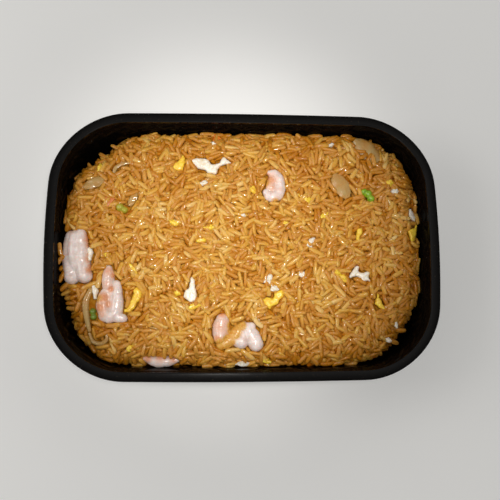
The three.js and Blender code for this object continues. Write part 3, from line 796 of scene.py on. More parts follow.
@dataclass
class Heap:
    """The heap of rice: a low dome whose shoulder falls away to a worn outline."""

    reach_x: float = 103.5
    reach_back: float = 69
    reach_front: float = 67
    corner_back_right: float = 45
    corner_back_left: float = 59
    corner_front_left: float = 53
    corner_front_right: float = 57
    crown: float = 37.2
    dome: float = 1.4
    shoulder: float = 14
    edge_drop: float = 7
    swell: float = 0.4
    wobble: float = 0.9
    outer_fall: float = 2.4
    bites: tuple[tuple[float, float, float, float], ...] = ((-101, -33, 4.5, 8), (-87, 57, 4.5, 10))
    core_depth: float = 5.4
    core_cells: tuple[int, int] = (90, 60)
    core_gap: float = 0.7
    core_spread: float = 1.2
    skirt_drop: float = 5
    skirt_levels: tuple[float, ...] = (22.0, 14.0, 7.5, 2.6)

    def inside(self, x: Array, y: Array) -> Array:
        """How far points lie inside the outline, below zero outside it."""
        reach_y = np.where(y > 0, self.reach_back, self.reach_front)
        back = np.where(x > 0, self.corner_back_right, self.corner_back_left)
        front = np.where(x > 0, self.corner_front_right, self.corner_front_left)
        radius = np.where(y > 0, back, front)
        qx = np.abs(x) - self.reach_x + radius
        qy = np.abs(y) - reach_y + radius
        out = np.hypot(np.maximum(qx, 0), np.maximum(qy, 0)) + np.minimum(np.maximum(qx, qy), 0) - radius
        angle = np.arctan2(y, x)
        bite = sum(deep * np.exp(-((x - at_x) ** 2 + (y - at_y) ** 2) / (2 * wide**2))
                   for at_x, at_y, deep, wide in self.bites)
        return self.wobble * (np.sin(7 * angle + 1) + np.sin(17 * angle)) - out - bite

    def top(self, x: Array, y: Array) -> Array:
        """The height of the rice at points."""
        depth = self.inside(x, y)
        level = np.clip(depth / self.shoulder, 0, 1)
        bend = (x / self.reach_x) ** 2 + (y / self.reach_back) ** 2
        swell = self.swell * np.sin(x / 15 + 0.6) * np.cos(y / 12 - 0.4)
        dome = self.crown - self.dome * bend / 2 - self.edge_drop * (1 - level) ** 2 + swell
        return dome + self.outer_fall * np.minimum(depth, 0)

    def top_at(self, x: float, y: float) -> float:
        """The height of the rice at one point."""
        return float(self.top(np.array(x), np.array(y)))

    def outline(self, angle: Array) -> Array:
        """The outline's distance from the centre in each direction."""
        near, far = np.full_like(angle, 20.0), np.full_like(angle, 140.0)
        for _ in range(30):
            middle = (near + far) / 2
            within = self.inside(np.cos(angle) * middle, np.sin(angle) * middle) > 0
            near, far = np.where(within, middle, near), np.where(within, far, middle)
        return near

    def build_core(self, tray: Tray) -> None:
        """Models the rice under the grains that show, down to the floor, and dresses it.

        Args:
            tray: The tray that holds it.
        """
        across, deep = self.core_cells
        bpy.ops.object.select_all(action="DESELECT")
        bpy.ops.mesh.primitive_grid_add(x_subdivisions=across, y_subdivisions=deep, size=2)
        piece = bpy.context.object
        grid = points_of(piece)[:, :2] * MM
        ring = np.abs(grid).max(axis=1)
        angle = np.arctan2(grid[:, 1] * self.reach_back, grid[:, 0] * self.reach_x)
        distance = ring * self.outline(angle)
        x, y = distance * np.cos(angle), distance * np.sin(angle)
        points = np.column_stack([x, y, self.top(x, y) - self.core_depth])
        points[:, 2] += 0.5 * ripple(points, 3.0, 4)
        set_points(piece, points)
        count = len(points)
        with editing(piece):
            select_open_edges(piece)
            for _ in self.skirt_levels:
                drop = (0, 0, -self.skirt_drop * MM)
                bpy.ops.mesh.extrude_region_move(TRANSFORM_OT_translate={"value": drop})
            bpy.ops.mesh.edge_face_add()
        points = points_of(piece)
        skirt = points[count:]
        fall = self.top(skirt[:, 0], skirt[:, 1]) - self.core_depth - skirt[:, 2]
        steps = np.round(fall / self.skirt_drop).clip(1, len(self.skirt_levels))
        skirt[:, 2] = np.choose(steps.astype(int) - 1, self.skirt_levels)
        points[count:] = skirt
        # The wall slopes and turns, so one move to it isn't enough and some more follow.
        for widest in (self.core_spread, 0, 0, 0, 0, 0):
            gap = tray.room(points[:, 0], points[:, 1], points[:, 2]) - self.core_gap
            reach = np.hypot(points[:, 0], points[:, 1]) + 0.01
            outward = np.where(np.arange(len(points)) < count, 0, widest)
            points[:, :2] *= (1 + np.clip(gap, -20, outward) / reach)[:, None]
        set_points(piece, points)
        with editing(piece):
            face_outward()
        shade_smooth(piece, 50)
        settle(piece, "rice_core", Slot.RICE, SauceCore().material())


# What lies in the rice


@dataclass
class Clay:
    """Round bodies pressed together into one piece."""

    voxel: float = 0.45
    smoothing: int = 4

    def press(self, bodies: list[tuple[Point, Point, float]]) -> bpy.types.Object:
        """Adds a round body for each entry and melts them into one skin.

        Args:
            bodies: The centre, the three half sizes and the turn of each.

        Returns:
            The new piece.
        """
        made = []
        for centre, half, turn in bodies:
            bpy.ops.object.select_all(action="DESELECT")
            bpy.ops.mesh.primitive_uv_sphere_add(
                segments=14, ring_count=9, radius=1, location=[c * MM for c in centre],
                rotation=(0, 0, math.radians(turn)), scale=[h * MM for h in half])
            made.append(bpy.context.object)
        piece = joined(made)
        modify(piece, "REMESH", mode="VOXEL", voxel_size=self.voxel * MM, use_smooth_shade=True)
        modify(piece, "SMOOTH", factor=0.5, iterations=self.smoothing)
        return piece


@dataclass
class Roll:
    """A round body along a spine of [x, y, radius]."""

    rise: float
    spine: list[Point]
    flat: float = 1.0
    ceiling: float = 40.4

    def bodies(self, heap: Heap) -> list[tuple[Point, Point, float]]:
        """The chain of round bodies that fills it.

        Args:
            heap: What it lies on.

        Returns:
            The centre, the half sizes and the turn of each body.
        """
        rows = []
        for x, y, radius in curve_through(self.spine, 5):
            z = min(heap.top_at(x, y) + self.rise * radius, self.ceiling - radius * self.flat)
            rows.append(((x, y, z), (radius, radius, radius * self.flat), 0.0))
        return rows


@dataclass
class Shrimps:
    """Pieces of cooked shrimp, each of one or more rolls, with the places where they blush."""

    rolls: dict[str, list[Roll]] = field(default_factory=lambda: {
        "left": [
            Roll(0.1, [(-98.2, 5.6, 3.4), (-98.4, -6, 4.4), (-97, -17.4, 4.2)]),
            Roll(0.25, [(-92.6, 6, 3.7), (-92, -6, 4.9), (-89.8, -16.6, 4.4)]),
            Roll(0.12, [(-95.6, 5.4, 3.5), (-95.4, -4, 4.6), (-94.2, -11, 3.8)]),
        ],
        "corner": [
            Roll(0.3, [(-76, -13, 1.9), (-76.4, -18, 3.5), (-76.6, -22.6, 3)]),
            Roll(0.15, [(-78, -26.6, 2.6), (-79, -33, 3.8), (-77.4, -38.4, 4.2)]),
            Roll(0.3, [(-71.4, -21.6, 2.1), (-71.3, -30, 3.4), (-72.4, -37.6, 4.1), (-75.6, -40.2, 3.4)]),
            Roll(0.2, [(-71.6, -40.2, 2.8), (-68, -40.8, 2.5)]),
            Roll(0.1, [(-75, -25.4, 2.2), (-75.2, -33, 2.6)]),
        ],
        "back": [
            Roll(0.25, [(14.4, 43.2, 1.7), (18.4, 41.8, 2.7), (20.8, 36.4, 3.2), (19.2, 30.2, 3.3),
                        (15, 28.8, 2.6), (12.8, 31.4, 2)]),
            Roll(0, [(16.4, 39, 2.6), (15.8, 34.6, 3.2)]),
        ],
        "front": [
            Roll(0.15, [(-12.8, -41.4, 3.4), (-13.2, -46.4, 4.8), (-14.2, -52, 3.3)]),
            Roll(0.2, [(-4.4, -53.4, 3.2), (-1.8, -53.8, 4)]),
            Roll(0.25, [(1.8, -46.8, 2.3), (4.2, -51, 4.5), (6.2, -55, 4.3)]),
            Roll(-0.2, [(-13.4, -56, 2.5), (-8.4, -53.4, 3.2), (-4.4, -48.6, 3.4), (-1, -44.6, 2.2)]),
            Roll(0.2, [(0.6, -46, 2.4), (3.6, -45.6, 2.2)]),
            Roll(0.1, [(-1.4, -48.6, 2.6), (-0.6, -51.6, 2.8)]),
        ],
        "edge": [Roll(0, [(-55.5, -63, 1.4), (-50, -64.4, 3), (-43, -64.6, 2.8), (-37.5, -63.6, 1.2)])],
    })
    blushes: dict[str, list[tuple[float, float, float, float]]] = field(default_factory=lambda: {
        "left": [(-97.5, 0.6, 1.2, 0.35), (-87.6, 5, 2.2, 0.8), (-87, 0, 2.2, 0.9), (-86.6, -6, 2.2, 0.8),
                 (-86, -12, 2, 0.8), (-98, 9, 3, 0.45), (-102, -14, 2, 0.5), (-88.4, 3, 2, 0.8),
                 (-87.6, -8, 2.2, 0.7), (-86.8, -14, 2, 0.8)],
        "corner": [(-76, -15, 3.6, 0.6), (-73.6, -17, 1.6, 0.9), (-77, -22, 3.4, 0.5),
                   (-74.4, -24.6, 1.8, 0.9), (-78.4, -29.6, 3, 0.95), (-80, -35, 3, 0.9),
                   (-76, -33, 2, 0.9), (-79, -38.5, 2.4, 0.6)],
        "back": [(15, 38.4, 3.6, 0.75), (16, 34, 2.6, 0.6), (13, 40.6, 2.2, 0.9), (21, 33, 1.6, 0.4)],
        "front": [(-13, -45.6, 6, 0.56), (-15.4, -52.6, 2.6, 0.8), (-12.6, -38.4, 2.4, 0.9),
                  (-7.6, -55.6, 1.6, 0.9), (1.6, -57.6, 1.6, 0.7)],
        "edge": [(-47, -62, 3, 0.7), (-54, -63, 2, 0.9), (-40, -63, 2.4, 0.8)],
    })
    stains: dict[str, list[tuple[float, float, float, float]]] = field(default_factory=lambda: {
        "left": [(-84.6, 4, 1.8, 0.8)],
        "corner": [(-81.6, -30, 2.4, 0.7)],
        "back": [(11, 37, 3, 0.9), (18, 25.4, 2.4, 0.8)],
        "front": [(-13.4, -57, 3.4, 1.4), (-9.4, -53.6, 2.8, 1.4), (-5.8, -48.8, 3, 1.3),
                  (-2.4, -45, 2.4, 1.3), (-8, -45, 2, 1.0)],
        "edge": [],
    })
    patch_spread: float = 1.3
    segment: float = 5.4
    groove: float = 0.16
    groove_width: float = 0.1
    fullness: float = 0.3
    lump: float = 0.4
    lump_size: float = 5.0
    pimple: float = 0.12
    pimple_size: float = 1.6

    def build(self, heap: Heap) -> list[bpy.types.Object]:
        """Models and dresses every piece.

        Args:
            heap: What they lie on.

        Returns:
            The pieces.
        """
        material = CookedShrimp().material()
        made = []
        for seed, (name, rolls) in enumerate(self.rolls.items()):
            piece = Clay(0.4, 12).press([body for roll in rolls for body in roll.bodies(heap)])
            points, normals = points_of(piece), normals_of(piece)
            cut = self._grooves(points, rolls)
            lumps = self.lump * ripple(points, self.lump_size, seed)
            swell = lumps + self.pimple * ripple(points, self.pimple_size, seed + 9) + self.fullness
            set_points(piece, points + normals * (swell - self.groove * cut)[:, None])
            keep_value(piece, "blush", self._patches(points, self.blushes[name]))
            keep_value(piece, "stain", self._patches(points, self.stains[name]))
            settle(piece, f"{name}_shrimp", Slot.SHRIMP, material, f"shrimp_{name}")
            made.append(piece)
        return made

    def _patches(self, points: Array, spots: list[tuple[float, float, float, float]]) -> Array:
        """How strongly round patches of [x, y, reach, strength] colour each point."""
        value = np.zeros(len(points))
        for x, y, reach, strength in spots:
            away = np.hypot(points[:, 0] - x, points[:, 1] - y) / (self.patch_spread * reach)
            value = np.maximum(value, strength * np.exp(-(away**2)))
        return value

    def _grooves(self, points: Array, rolls: list[Roll]) -> Array:
        """How deep each point lies in a line between two segments, from 0 to 1."""
        nearest = np.full(len(points), np.inf)
        cut = np.zeros(len(points))
        for roll in rolls:
            spine = curve_through(roll.spine, 12)
            along = np.concatenate([[0], np.cumsum(np.hypot(*np.diff(spine[:, :2], axis=0).T))])
            away = np.hypot(points[:, :1] - spine[:, 0], points[:, 1:2] - spine[:, 1])
            index = away.argmin(axis=1)
            distance = away[np.arange(len(points)), index]
            phase = (along[index] / self.segment + 0.5) % 1 - 0.5
            here = np.exp(-((phase / self.groove_width) ** 2))
            cut = np.where(distance < nearest, here, cut)
            nearest = np.minimum(nearest, distance)
        return cut


@dataclass
class Petal:
    """A thin curved leaf of onion with a pointed end."""

    at: tuple[float, float]
    length: float
    width: float
    turn: float
    arch: float
    lift: float
    thickness: float = 1.0

    def model(self, heap: Heap) -> bpy.types.Object:
        """Bends a grid into the leaf and gives it its thickness.

        Args:
            heap: What it lies on.

        Returns:
            The piece.
        """
        bpy.ops.object.select_all(action="DESELECT")
        bpy.ops.mesh.primitive_grid_add(x_subdivisions=18, y_subdivisions=8, size=2)
        piece = bpy.context.object
        u, v = (points_of(piece)[:, :2] * MM).T
        half = self.width / 2 * np.maximum(0.2, (1 - np.abs(u) ** 2.4)) ** 0.6
        half *= 1 + 0.06 * np.sin(9 * u + self.turn)
        along, across = u * self.length / 2, v * half
        cos, sin = math.cos(math.radians(self.turn)), math.sin(math.radians(self.turn))
        z = heap.top_at(*self.at) + self.lift - self.arch * (0.6 * v**2 + 0.4 * u**2)
        z = z + 0.25 * np.sin(5 * u + 2 * v) + 0.12 * np.sin(11 * v + u)
        x, y = self.at[0] + along * cos - across * sin, self.at[1] + along * sin + across * cos
        set_points(piece, np.column_stack([x, y, z]))
        keep_value(piece, "across", across)
        modify(piece, "SOLIDIFY", thickness=self.thickness * MM, offset=0)
        modify(piece, "BEVEL", width=0.3 * MM, segments=2, limit_method="ANGLE")
        shade_smooth(piece, 60)
        return piece


@dataclass
class Onions:
    """Leaves and strands of cooked onion."""

    petals: dict[str, Petal] = field(default_factory=lambda: {
        "back_right": Petal((72.6, 57.6), 19, 10, -42, 1.8, 2.2),
        "centre": Petal((56.4, 35.6), 16, 9, -62, 1.2, 1.5),
        "left": Petal((-85.6, 36.2), 12.5, 5.6, 24, 1.2, 1.7),
        "chip": Petal((-63.4, 26.8), 8.6, 3.6, 62, 0.8, 1.2),
    })
    strands: dict[str, Roll] = field(default_factory=lambda: {
        "curl": Roll(0.6, [(-75, 41.6, 1), (-73.6, 45.4, 1.2), (-70, 47.6, 1.2), (-66, 48.4, 0.9)], 0.6),
        "strand": Roll(0.5, [(-86, -25, 1.4), (-88.6, -32, 2), (-88, -40, 1.8), (-86.6, -47, 1.2)], 0.6),
        "ring": Roll(0.6, [(-86.6, -49, 0.9), (-84.6, -53.4, 1.2), (-80, -54.6, 1.3), (-76.6, -52.4, 1.2),
                           (-77, -48.4, 0.9)], 0.8),
    })

    def build(self, heap: Heap) -> list[bpy.types.Object]:
        """Models and dresses every leaf and strand.

        Args:
            heap: What they lie on.

        Returns:
            The pieces.
        """
        material = SoftOnion().material()
        made = []
        for name, petal in self.petals.items():
            piece = petal.model(heap)
            settle(piece, f"{name}_onion", Slot.ONION, material, f"onion_{name}")
            made.append(piece)
        for name, strand in self.strands.items():
            piece = Clay(0.3, 3).press(strand.bodies(heap))
            settle(piece, f"{name}_onion", Slot.ONION, material, f"onion_{name}")
            made.append(piece)
        return made


@dataclass
class Eggs:
    """Torn sheets of scrambled egg, each with its outline, and crumbs."""

    whites: dict[str, list[tuple[float, float]]] = field(default_factory=lambda: {
        "back": [
            (-30.6, 50.5), (-30.1, 47.3), (-28.4, 47), (-26.6, 45.2), (-23, 44.6),
            (-21.2, 42.7), (-18.9, 42.3), (-16, 41.8), (-15, 45.2), (-13.5, 46.9),
            (-10.6, 47.9), (-7.2, 48.7), (-10, 51.1), (-11.8, 52.6), (-13.2, 51.3),
            (-14, 48.7), (-17.1, 47.8), (-19.2, 47.8), (-20.4, 50.2), (-22.4, 51.2),
            (-27.8, 51.2),
        ],
        "front": [
            (-30.6, -18.4), (-30.8, -20.7), (-31.5, -24.2), (-33.4, -25.4), (-34.6, -29),
            (-32.5, -30.6), (-30.6, -31.8), (-29.2, -31.9), (-27.4, -30.4), (-26.8, -27.5),
            (-28, -23.1), (-28.2, -19.6), (-29.6, -17.2),
        ],
        "right": [
            (64.8, -10.8), (63.1, -12), (61.3, -14.6), (59.9, -17), (60.2, -18.4),
            (63.7, -17), (66.4, -18), (66.3, -19.4), (67.2, -20.1), (70.6, -19.9),
            (72.1, -20.4), (71, -16.8), (72, -15.4), (70.8, -14.2), (68.1, -15.3),
            (65.2, -14.6), (65.9, -11.7),
        ],
        "left": [
            (-87.2, -0.5), (-88.6, -2.3), (-87.8, -5.1), (-88.2, -7.1), (-87.2, -8.9),
            (-86.1, -8.7), (-85, -4.3), (-85.3, -1.9),
        ],
        "corner": [
            (-85.2, -20.6), (-85.6, -23.4), (-84.8, -26.6), (-84.4, -30), (-82.6, -30),
            (-82.2, -27.8), (-81.4, -25.4), (-83, -22.4),
        ],
        "end": [
            (98.5, 23.4), (96.8, 22.7), (96.3, 21.2), (95.3, 19.8), (96.6, 17.8),
            (98.5, 16.1), (100.6, 15.6), (101.2, 17.6), (100.1, 19.8), (99.2, 21.5),
        ],
    })
    yolks: dict[str, list[tuple[float, float]]] = field(default_factory=lambda: {
        "back": [
            (-35, 53.4), (-36.1, 51.9), (-37.6, 49.8), (-39.9, 48.4), (-41.1, 46.4),
            (-40.5, 44.6), (-38.2, 43.4), (-35.2, 44), (-35, 45.8), (-34, 48.8),
            (-34, 51.3),
        ],
        "front": [
            (21.3, -24.6), (18.7, -25.6), (16.6, -26.7), (16.6, -28.9), (15.4, -30),
            (13.8, -29), (11.7, -29.3), (10, -30.5), (10.7, -32.4), (12.1, -34.7),
            (14.3, -35.8), (15.4, -34.3), (17.6, -33.3), (19.2, -32.8), (19.9, -30.3),
            (21.8, -29.1), (22.3, -27),
        ],
        "left": [
            (-60.8, -23.4), (-62.1, -25.3), (-62.3, -27.7), (-63.8, -31.3), (-64.5, -34.1),
            (-67.1, -36.1), (-67.1, -37.7), (-64.2, -37.7), (-61.4, -35.4), (-60.6, -33),
            (-58.2, -30.6), (-57.8, -26.6), (-59.2, -23.8),
        ],
        "end": [
            (100.9, 14.9), (99.8, 11.9), (96.3, 10.2), (95, 8.9), (96.1, 7),
            (96.3, 4.5), (97.5, 3.3), (99.1, 3.5), (100.3, 6.2), (101.4, 9.9),
            (101.8, 13.1),
        ],
        "right": [
            (67, 11.2), (65.4, 10.4), (65, 8.5), (64.4, 5.5), (64.5, 3.6),
            (65.4, 2.5), (66.5, 3.1), (67, 6), (68.2, 7.7), (68.4, 9.9),
        ],
        "corner": [
            (75.3, -26.3), (75.5, -28.9), (74.8, -30.5), (74.2, -32.9), (75.9, -34.6),
            (77.6, -35.8), (80, -37.2), (80, -35.1), (78.6, -32.9), (77.9, -30.5),
            (76.4, -29.6), (76.9, -27.9),
        ],
    })
    white_crumbs: list[Spot] = field(default_factory=lambda: [
        (13.6, -18.8, 2.4, 1.8, 60), (16.8, -24, 2, 1.8, 20), (38.2, 2.2, 2.6, 1.5, 60),
        (33, -16.2, 2.3, 1.5, 130), (-23, 36.4, 2.1, 1.2, 10), (88, 32.8, 2.1, 1.5, 0),
        (81.4, -52.6, 2.6, 1.2, 150), (87, -44, 2.2, 1, 100), (-17.8, 60, 1.4, 1.2, 0),
        (-1, -66, 3.4, 1.4, 4), (-0.7, 17.5, 1.3, 0.9, 0), (51.5, 60.5, 1.4, 0.9, 30),
    ])
    yolk_crumbs: list[Spot] = field(default_factory=lambda: [
        (56.6, -18.2, 2.2, 1.5, 150), (53, -15, 1.6, 1.2, 0), (35, 28.2, 3.2, 1.4, 150),
        (5.2, 32.8, 1.8, 1.4, 90), (-19.6, 10.6, 2.6, 1.4, 10), (-24.6, 3.2, 2.6, 1.2, 5),
        (-40.6, 13.4, 2.6, 1.4, 160), (-28, -34.2, 3, 1.4, 20), (-37.8, -26.8, 1.6, 1.4, 0),
        (-77.6, -5.2, 1.9, 1.1, 15), (85, 37.6, 2, 1.5, 10), (11.8, -64.4, 2.4, 1.4, 160),
        (-63.4, -57.2, 1.8, 1.5, 20), (-82.8, 45.6, 2.4, 1.2, 80), (46.4, 18, 2.6, 1.2, 20),
        (-62.5, -13, 3, 0.9, -50), (23, 13.5, 1.5, 0.9, 20), (89, 48, 1.8, 1, 120),
    ])
    over: float = 2.0
    under: float = 1.4
    rounding: float = 1.5
    voxel: float = 0.28
    crumb_scale: float = 1.2
    crumb_half_height: float = 1.3
    crumb_lift: float = 1.3

    def build(self, heap: Heap) -> list[bpy.types.Object]:
        """Models and dresses every piece and the crumbs.

        Args:
            heap: What they lie on.

        Returns:
            The pieces.
        """
        white = ScrambledEgg("egg_white", (226, 210, 178), (248, 242, 230), (222, 190, 130), 0.16)
        yolk = ScrambledEgg("egg_yolk", (228, 176, 38), (252, 216, 70), (222, 158, 44))
        made = []
        sets = ((self.whites, self.white_crumbs, Slot.EGG_WHITE, white.material()),
                (self.yolks, self.yolk_crumbs, Slot.EGG_YOLK, yolk.material()))
        for outlines, crumbs, slot, material in sets:
            for seed, (name, outline) in enumerate(outlines.items()):
                piece = self._curd(heap, outline, seed)
                settle(piece, f"{name}_{slot.value}", slot, material, f"{slot.value}_{name}")
                made.append(piece)
            piece = self._crumbs(heap, crumbs)
            settle(piece, f"{slot.value}_crumbs", slot, material)
        return made

    def _curd(self, heap: Heap, outline: list[tuple[float, float]], seed: int) -> bpy.types.Object:
        """One torn sheet of egg, thick in its middle and thin at its edge."""
        bpy.ops.object.select_all(action="DESELECT")
        bpy.ops.mesh.primitive_circle_add(vertices=len(outline), radius=MM, fill_type="NGON")
        piece = bpy.context.object
        rim = np.array(outline)
        set_points(piece, np.column_stack([rim, np.zeros(len(rim))]))
        with editing(piece):
            face_outward()
            bpy.ops.mesh.extrude_region_move(TRANSFORM_OT_translate={"value": (0, 0, 2 * MM)})
            face_outward()
        modify(piece, "REMESH", mode="VOXEL", voxel_size=self.voxel * MM, use_smooth_shade=True)
        modify(piece, "SMOOTH", factor=0.5, iterations=3)
        points = points_of(piece)
        start, along = rim, np.roll(rim, -1, axis=0) - rim
        offset = points[:, None, :2] - start
        share = np.clip((offset * along).sum(axis=2) / (along**2).sum(axis=1), 0, 1)
        edge = np.linalg.norm(offset - share[:, :, None] * along, axis=2).min(axis=1)
        crown = np.sqrt(1 - (1 - np.clip(edge / self.rounding, 0, 1)) ** 2)
        rise = np.where(points[:, 2] > 1, self.over * (0.25 + 0.75 * crown), -self.under * crown)
        flat = points * (1, 1, 0)
        relief = 0.35 * ripple(flat, 3.2, seed) + 0.16 * ripple(flat, 1.2, seed + 5)
        torn = warp(flat, 1.3, seed) * (0.35, 0.35, 0)
        points[:, 2] = heap.top(points[:, 0], points[:, 1]) + rise + relief
        set_points(piece, points + torn)
        modify(piece, "REMESH", mode="VOXEL", voxel_size=self.voxel * MM, use_smooth_shade=True)
        modify(piece, "SMOOTH", factor=0.5, iterations=2)
        return piece

    def _crumbs(self, heap: Heap, crumbs: list[Spot]) -> bpy.types.Object:
        """All the crumbs of one colour as one piece."""
        bpy.ops.object.select_all(action="DESELECT")
        bpy.ops.mesh.primitive_ico_sphere_add(subdivisions=3, radius=MM)
        unit, net = taken_apart(bpy.context.object)
        points, faces = [], []
        for seed, (x, y, long, wide, turn) in enumerate(crumbs):
            torn = unit + 0.5 * warp(unit, 0.8, seed + 30) + 0.2 * warp(unit, 0.35, seed + 60)
            lump = torn * (long * self.crumb_scale, wide * self.crumb_scale, self.crumb_half_height)
            turned = lump @ np.array(Euler((0.2, 0.1, math.radians(turn))).to_matrix()).T
            faces.append(net + len(unit) * seed)
            points.append(turned + (x, y, heap.top_at(x, y) + self.crumb_lift))
        return mesh_piece("crumbs", np.vstack(points), np.vstack(faces))


@dataclass
class Vegetables:
    """Peas, halved or whole, and small chips of carrot."""

    peas: dict[str, list[Point]] = field(default_factory=lambda: {
        "right": [(69.8, 32.2, 2.1), (72.2, 30.9, 2.4), (73.8, 28.2, 2.3)],
        "left": [(-84.4, -37, 1.9), (-84, -40, 1.8)],
        "back_left": [(-70.6, 22, 2.4), (-68, 20.4, 1.9)],
    })
    carrots: dict[str, Spot] = field(default_factory=lambda: {
        "back": (-15.8, 64, 3.6, 2.6, 20),
        "left": (-76.6, 25.6, 3.8, 3, 50),
    })
    pea_lift: float = 0.4
    chip_lift: float = 0.6
    chip_tilt: float = -12

    def build(self, heap: Heap) -> list[bpy.types.Object]:
        """Models and dresses every pea and chip.

        Args:
            heap: What they lie on.

        Returns:
            The pieces.
        """
        green = {
            "right": WetVegetable("cooked_pea", (98, 138, 4), (150, 188, 26)).material(),
            "left": WetVegetable("shaded_pea", (96, 116, 20), (120, 142, 34)).material(),
            "back_left": WetVegetable("faded_pea", (150, 146, 28), (178, 168, 48)).material(),
        }
        orange = {
            "back": WetVegetable("cooked_carrot", (214, 100, 18), (236, 136, 40), 0.9).material(),
            "left": WetVegetable("faded_carrot", (196, 100, 44), (216, 130, 66), 0.9).material(),
        }
        made = []
        for seed, (name, balls) in enumerate(self.peas.items()):
            bodies = [((x, y, heap.top_at(x, y) + self.pea_lift * r), (r, r, r), 0.0) for x, y, r in balls]
            piece = Clay(0.32, 2).press(bodies)
            points, normals = points_of(piece), normals_of(piece)
            set_points(piece, points + normals * (0.22 * ripple(points, 1.6, seed + 3))[:, None])
            settle(piece, f"{name}_pea", Slot.PEA, green[name], f"pea_{name}")
            made.append(piece)
        for name, (x, y, radius, height, turn) in self.carrots.items():
            bpy.ops.object.select_all(action="DESELECT")
            bpy.ops.mesh.primitive_cylinder_add(
                vertices=3, radius=radius * MM, depth=height * MM,
                location=(x * MM, y * MM, (heap.top_at(x, y) + self.chip_lift) * MM),
                rotation=(math.radians(self.chip_tilt), 0, math.radians(turn)))
            piece = fixed(bpy.context.object)
            with editing(piece):
                bpy.ops.mesh.select_all(action="SELECT")
                bpy.ops.mesh.bevel(offset=0.5 * MM, segments=3)
                bpy.ops.mesh.subdivide(number_cuts=2)
            points, normals = points_of(piece), normals_of(piece)
            set_points(piece, points + normals * (0.15 * ripple(points, 1.2, 8))[:, None])
            shade_smooth(piece, 40)
            settle(piece, f"{name}_carrot", Slot.CARROT, orange[name], f"carrot_{name}")
            made.append(piece)
        return made


# The grains


@dataclass
class Footprint:
    """The raster cells under a grain of one length and heading."""

    cells: Array
    along: Array
    drop: Array
    tail: Array
    head: Array


@dataclass(frozen=True)
class Sowing:
    """One round of laying: how many grains, how high their middles may be, and how deep they press in."""

    count: int
    proud: float
    give: float


@dataclass
class Ground:
    """A raster of square cells over the tray, with what the laying of grains has to know of each."""

    x: Array
    y: Array
    columns: int
    cell: float
    goal: Array
    level: Array
    covered: Array
    edge: Array
    swirl: Array
    is_open: Array

    def index(self, x: Array, y: Array) -> Array:
        """The cells in which points lie."""
        column = np.round((x - self.x[0]) / self.cell).astype(int)
        row = np.round((y - self.y[0]) / self.cell).astype(int)
        return column * self.columns + row


@dataclass(order=True, frozen=True)
class Offer:
    """One place where a grain could come to rest. The least one, by its cost first, is the best."""

    cost: float
    base: int
    size: int
    turn: int
    slope: float
    centre: float
    seen: float
    hidden: float


@dataclass
class Grain:
    """One laid grain: its middle, heading, slope, length class and how far it lies over the goal."""

    x: float
    y: float
    z: float
    heading: float
    slope: float
    size: int
    over: float


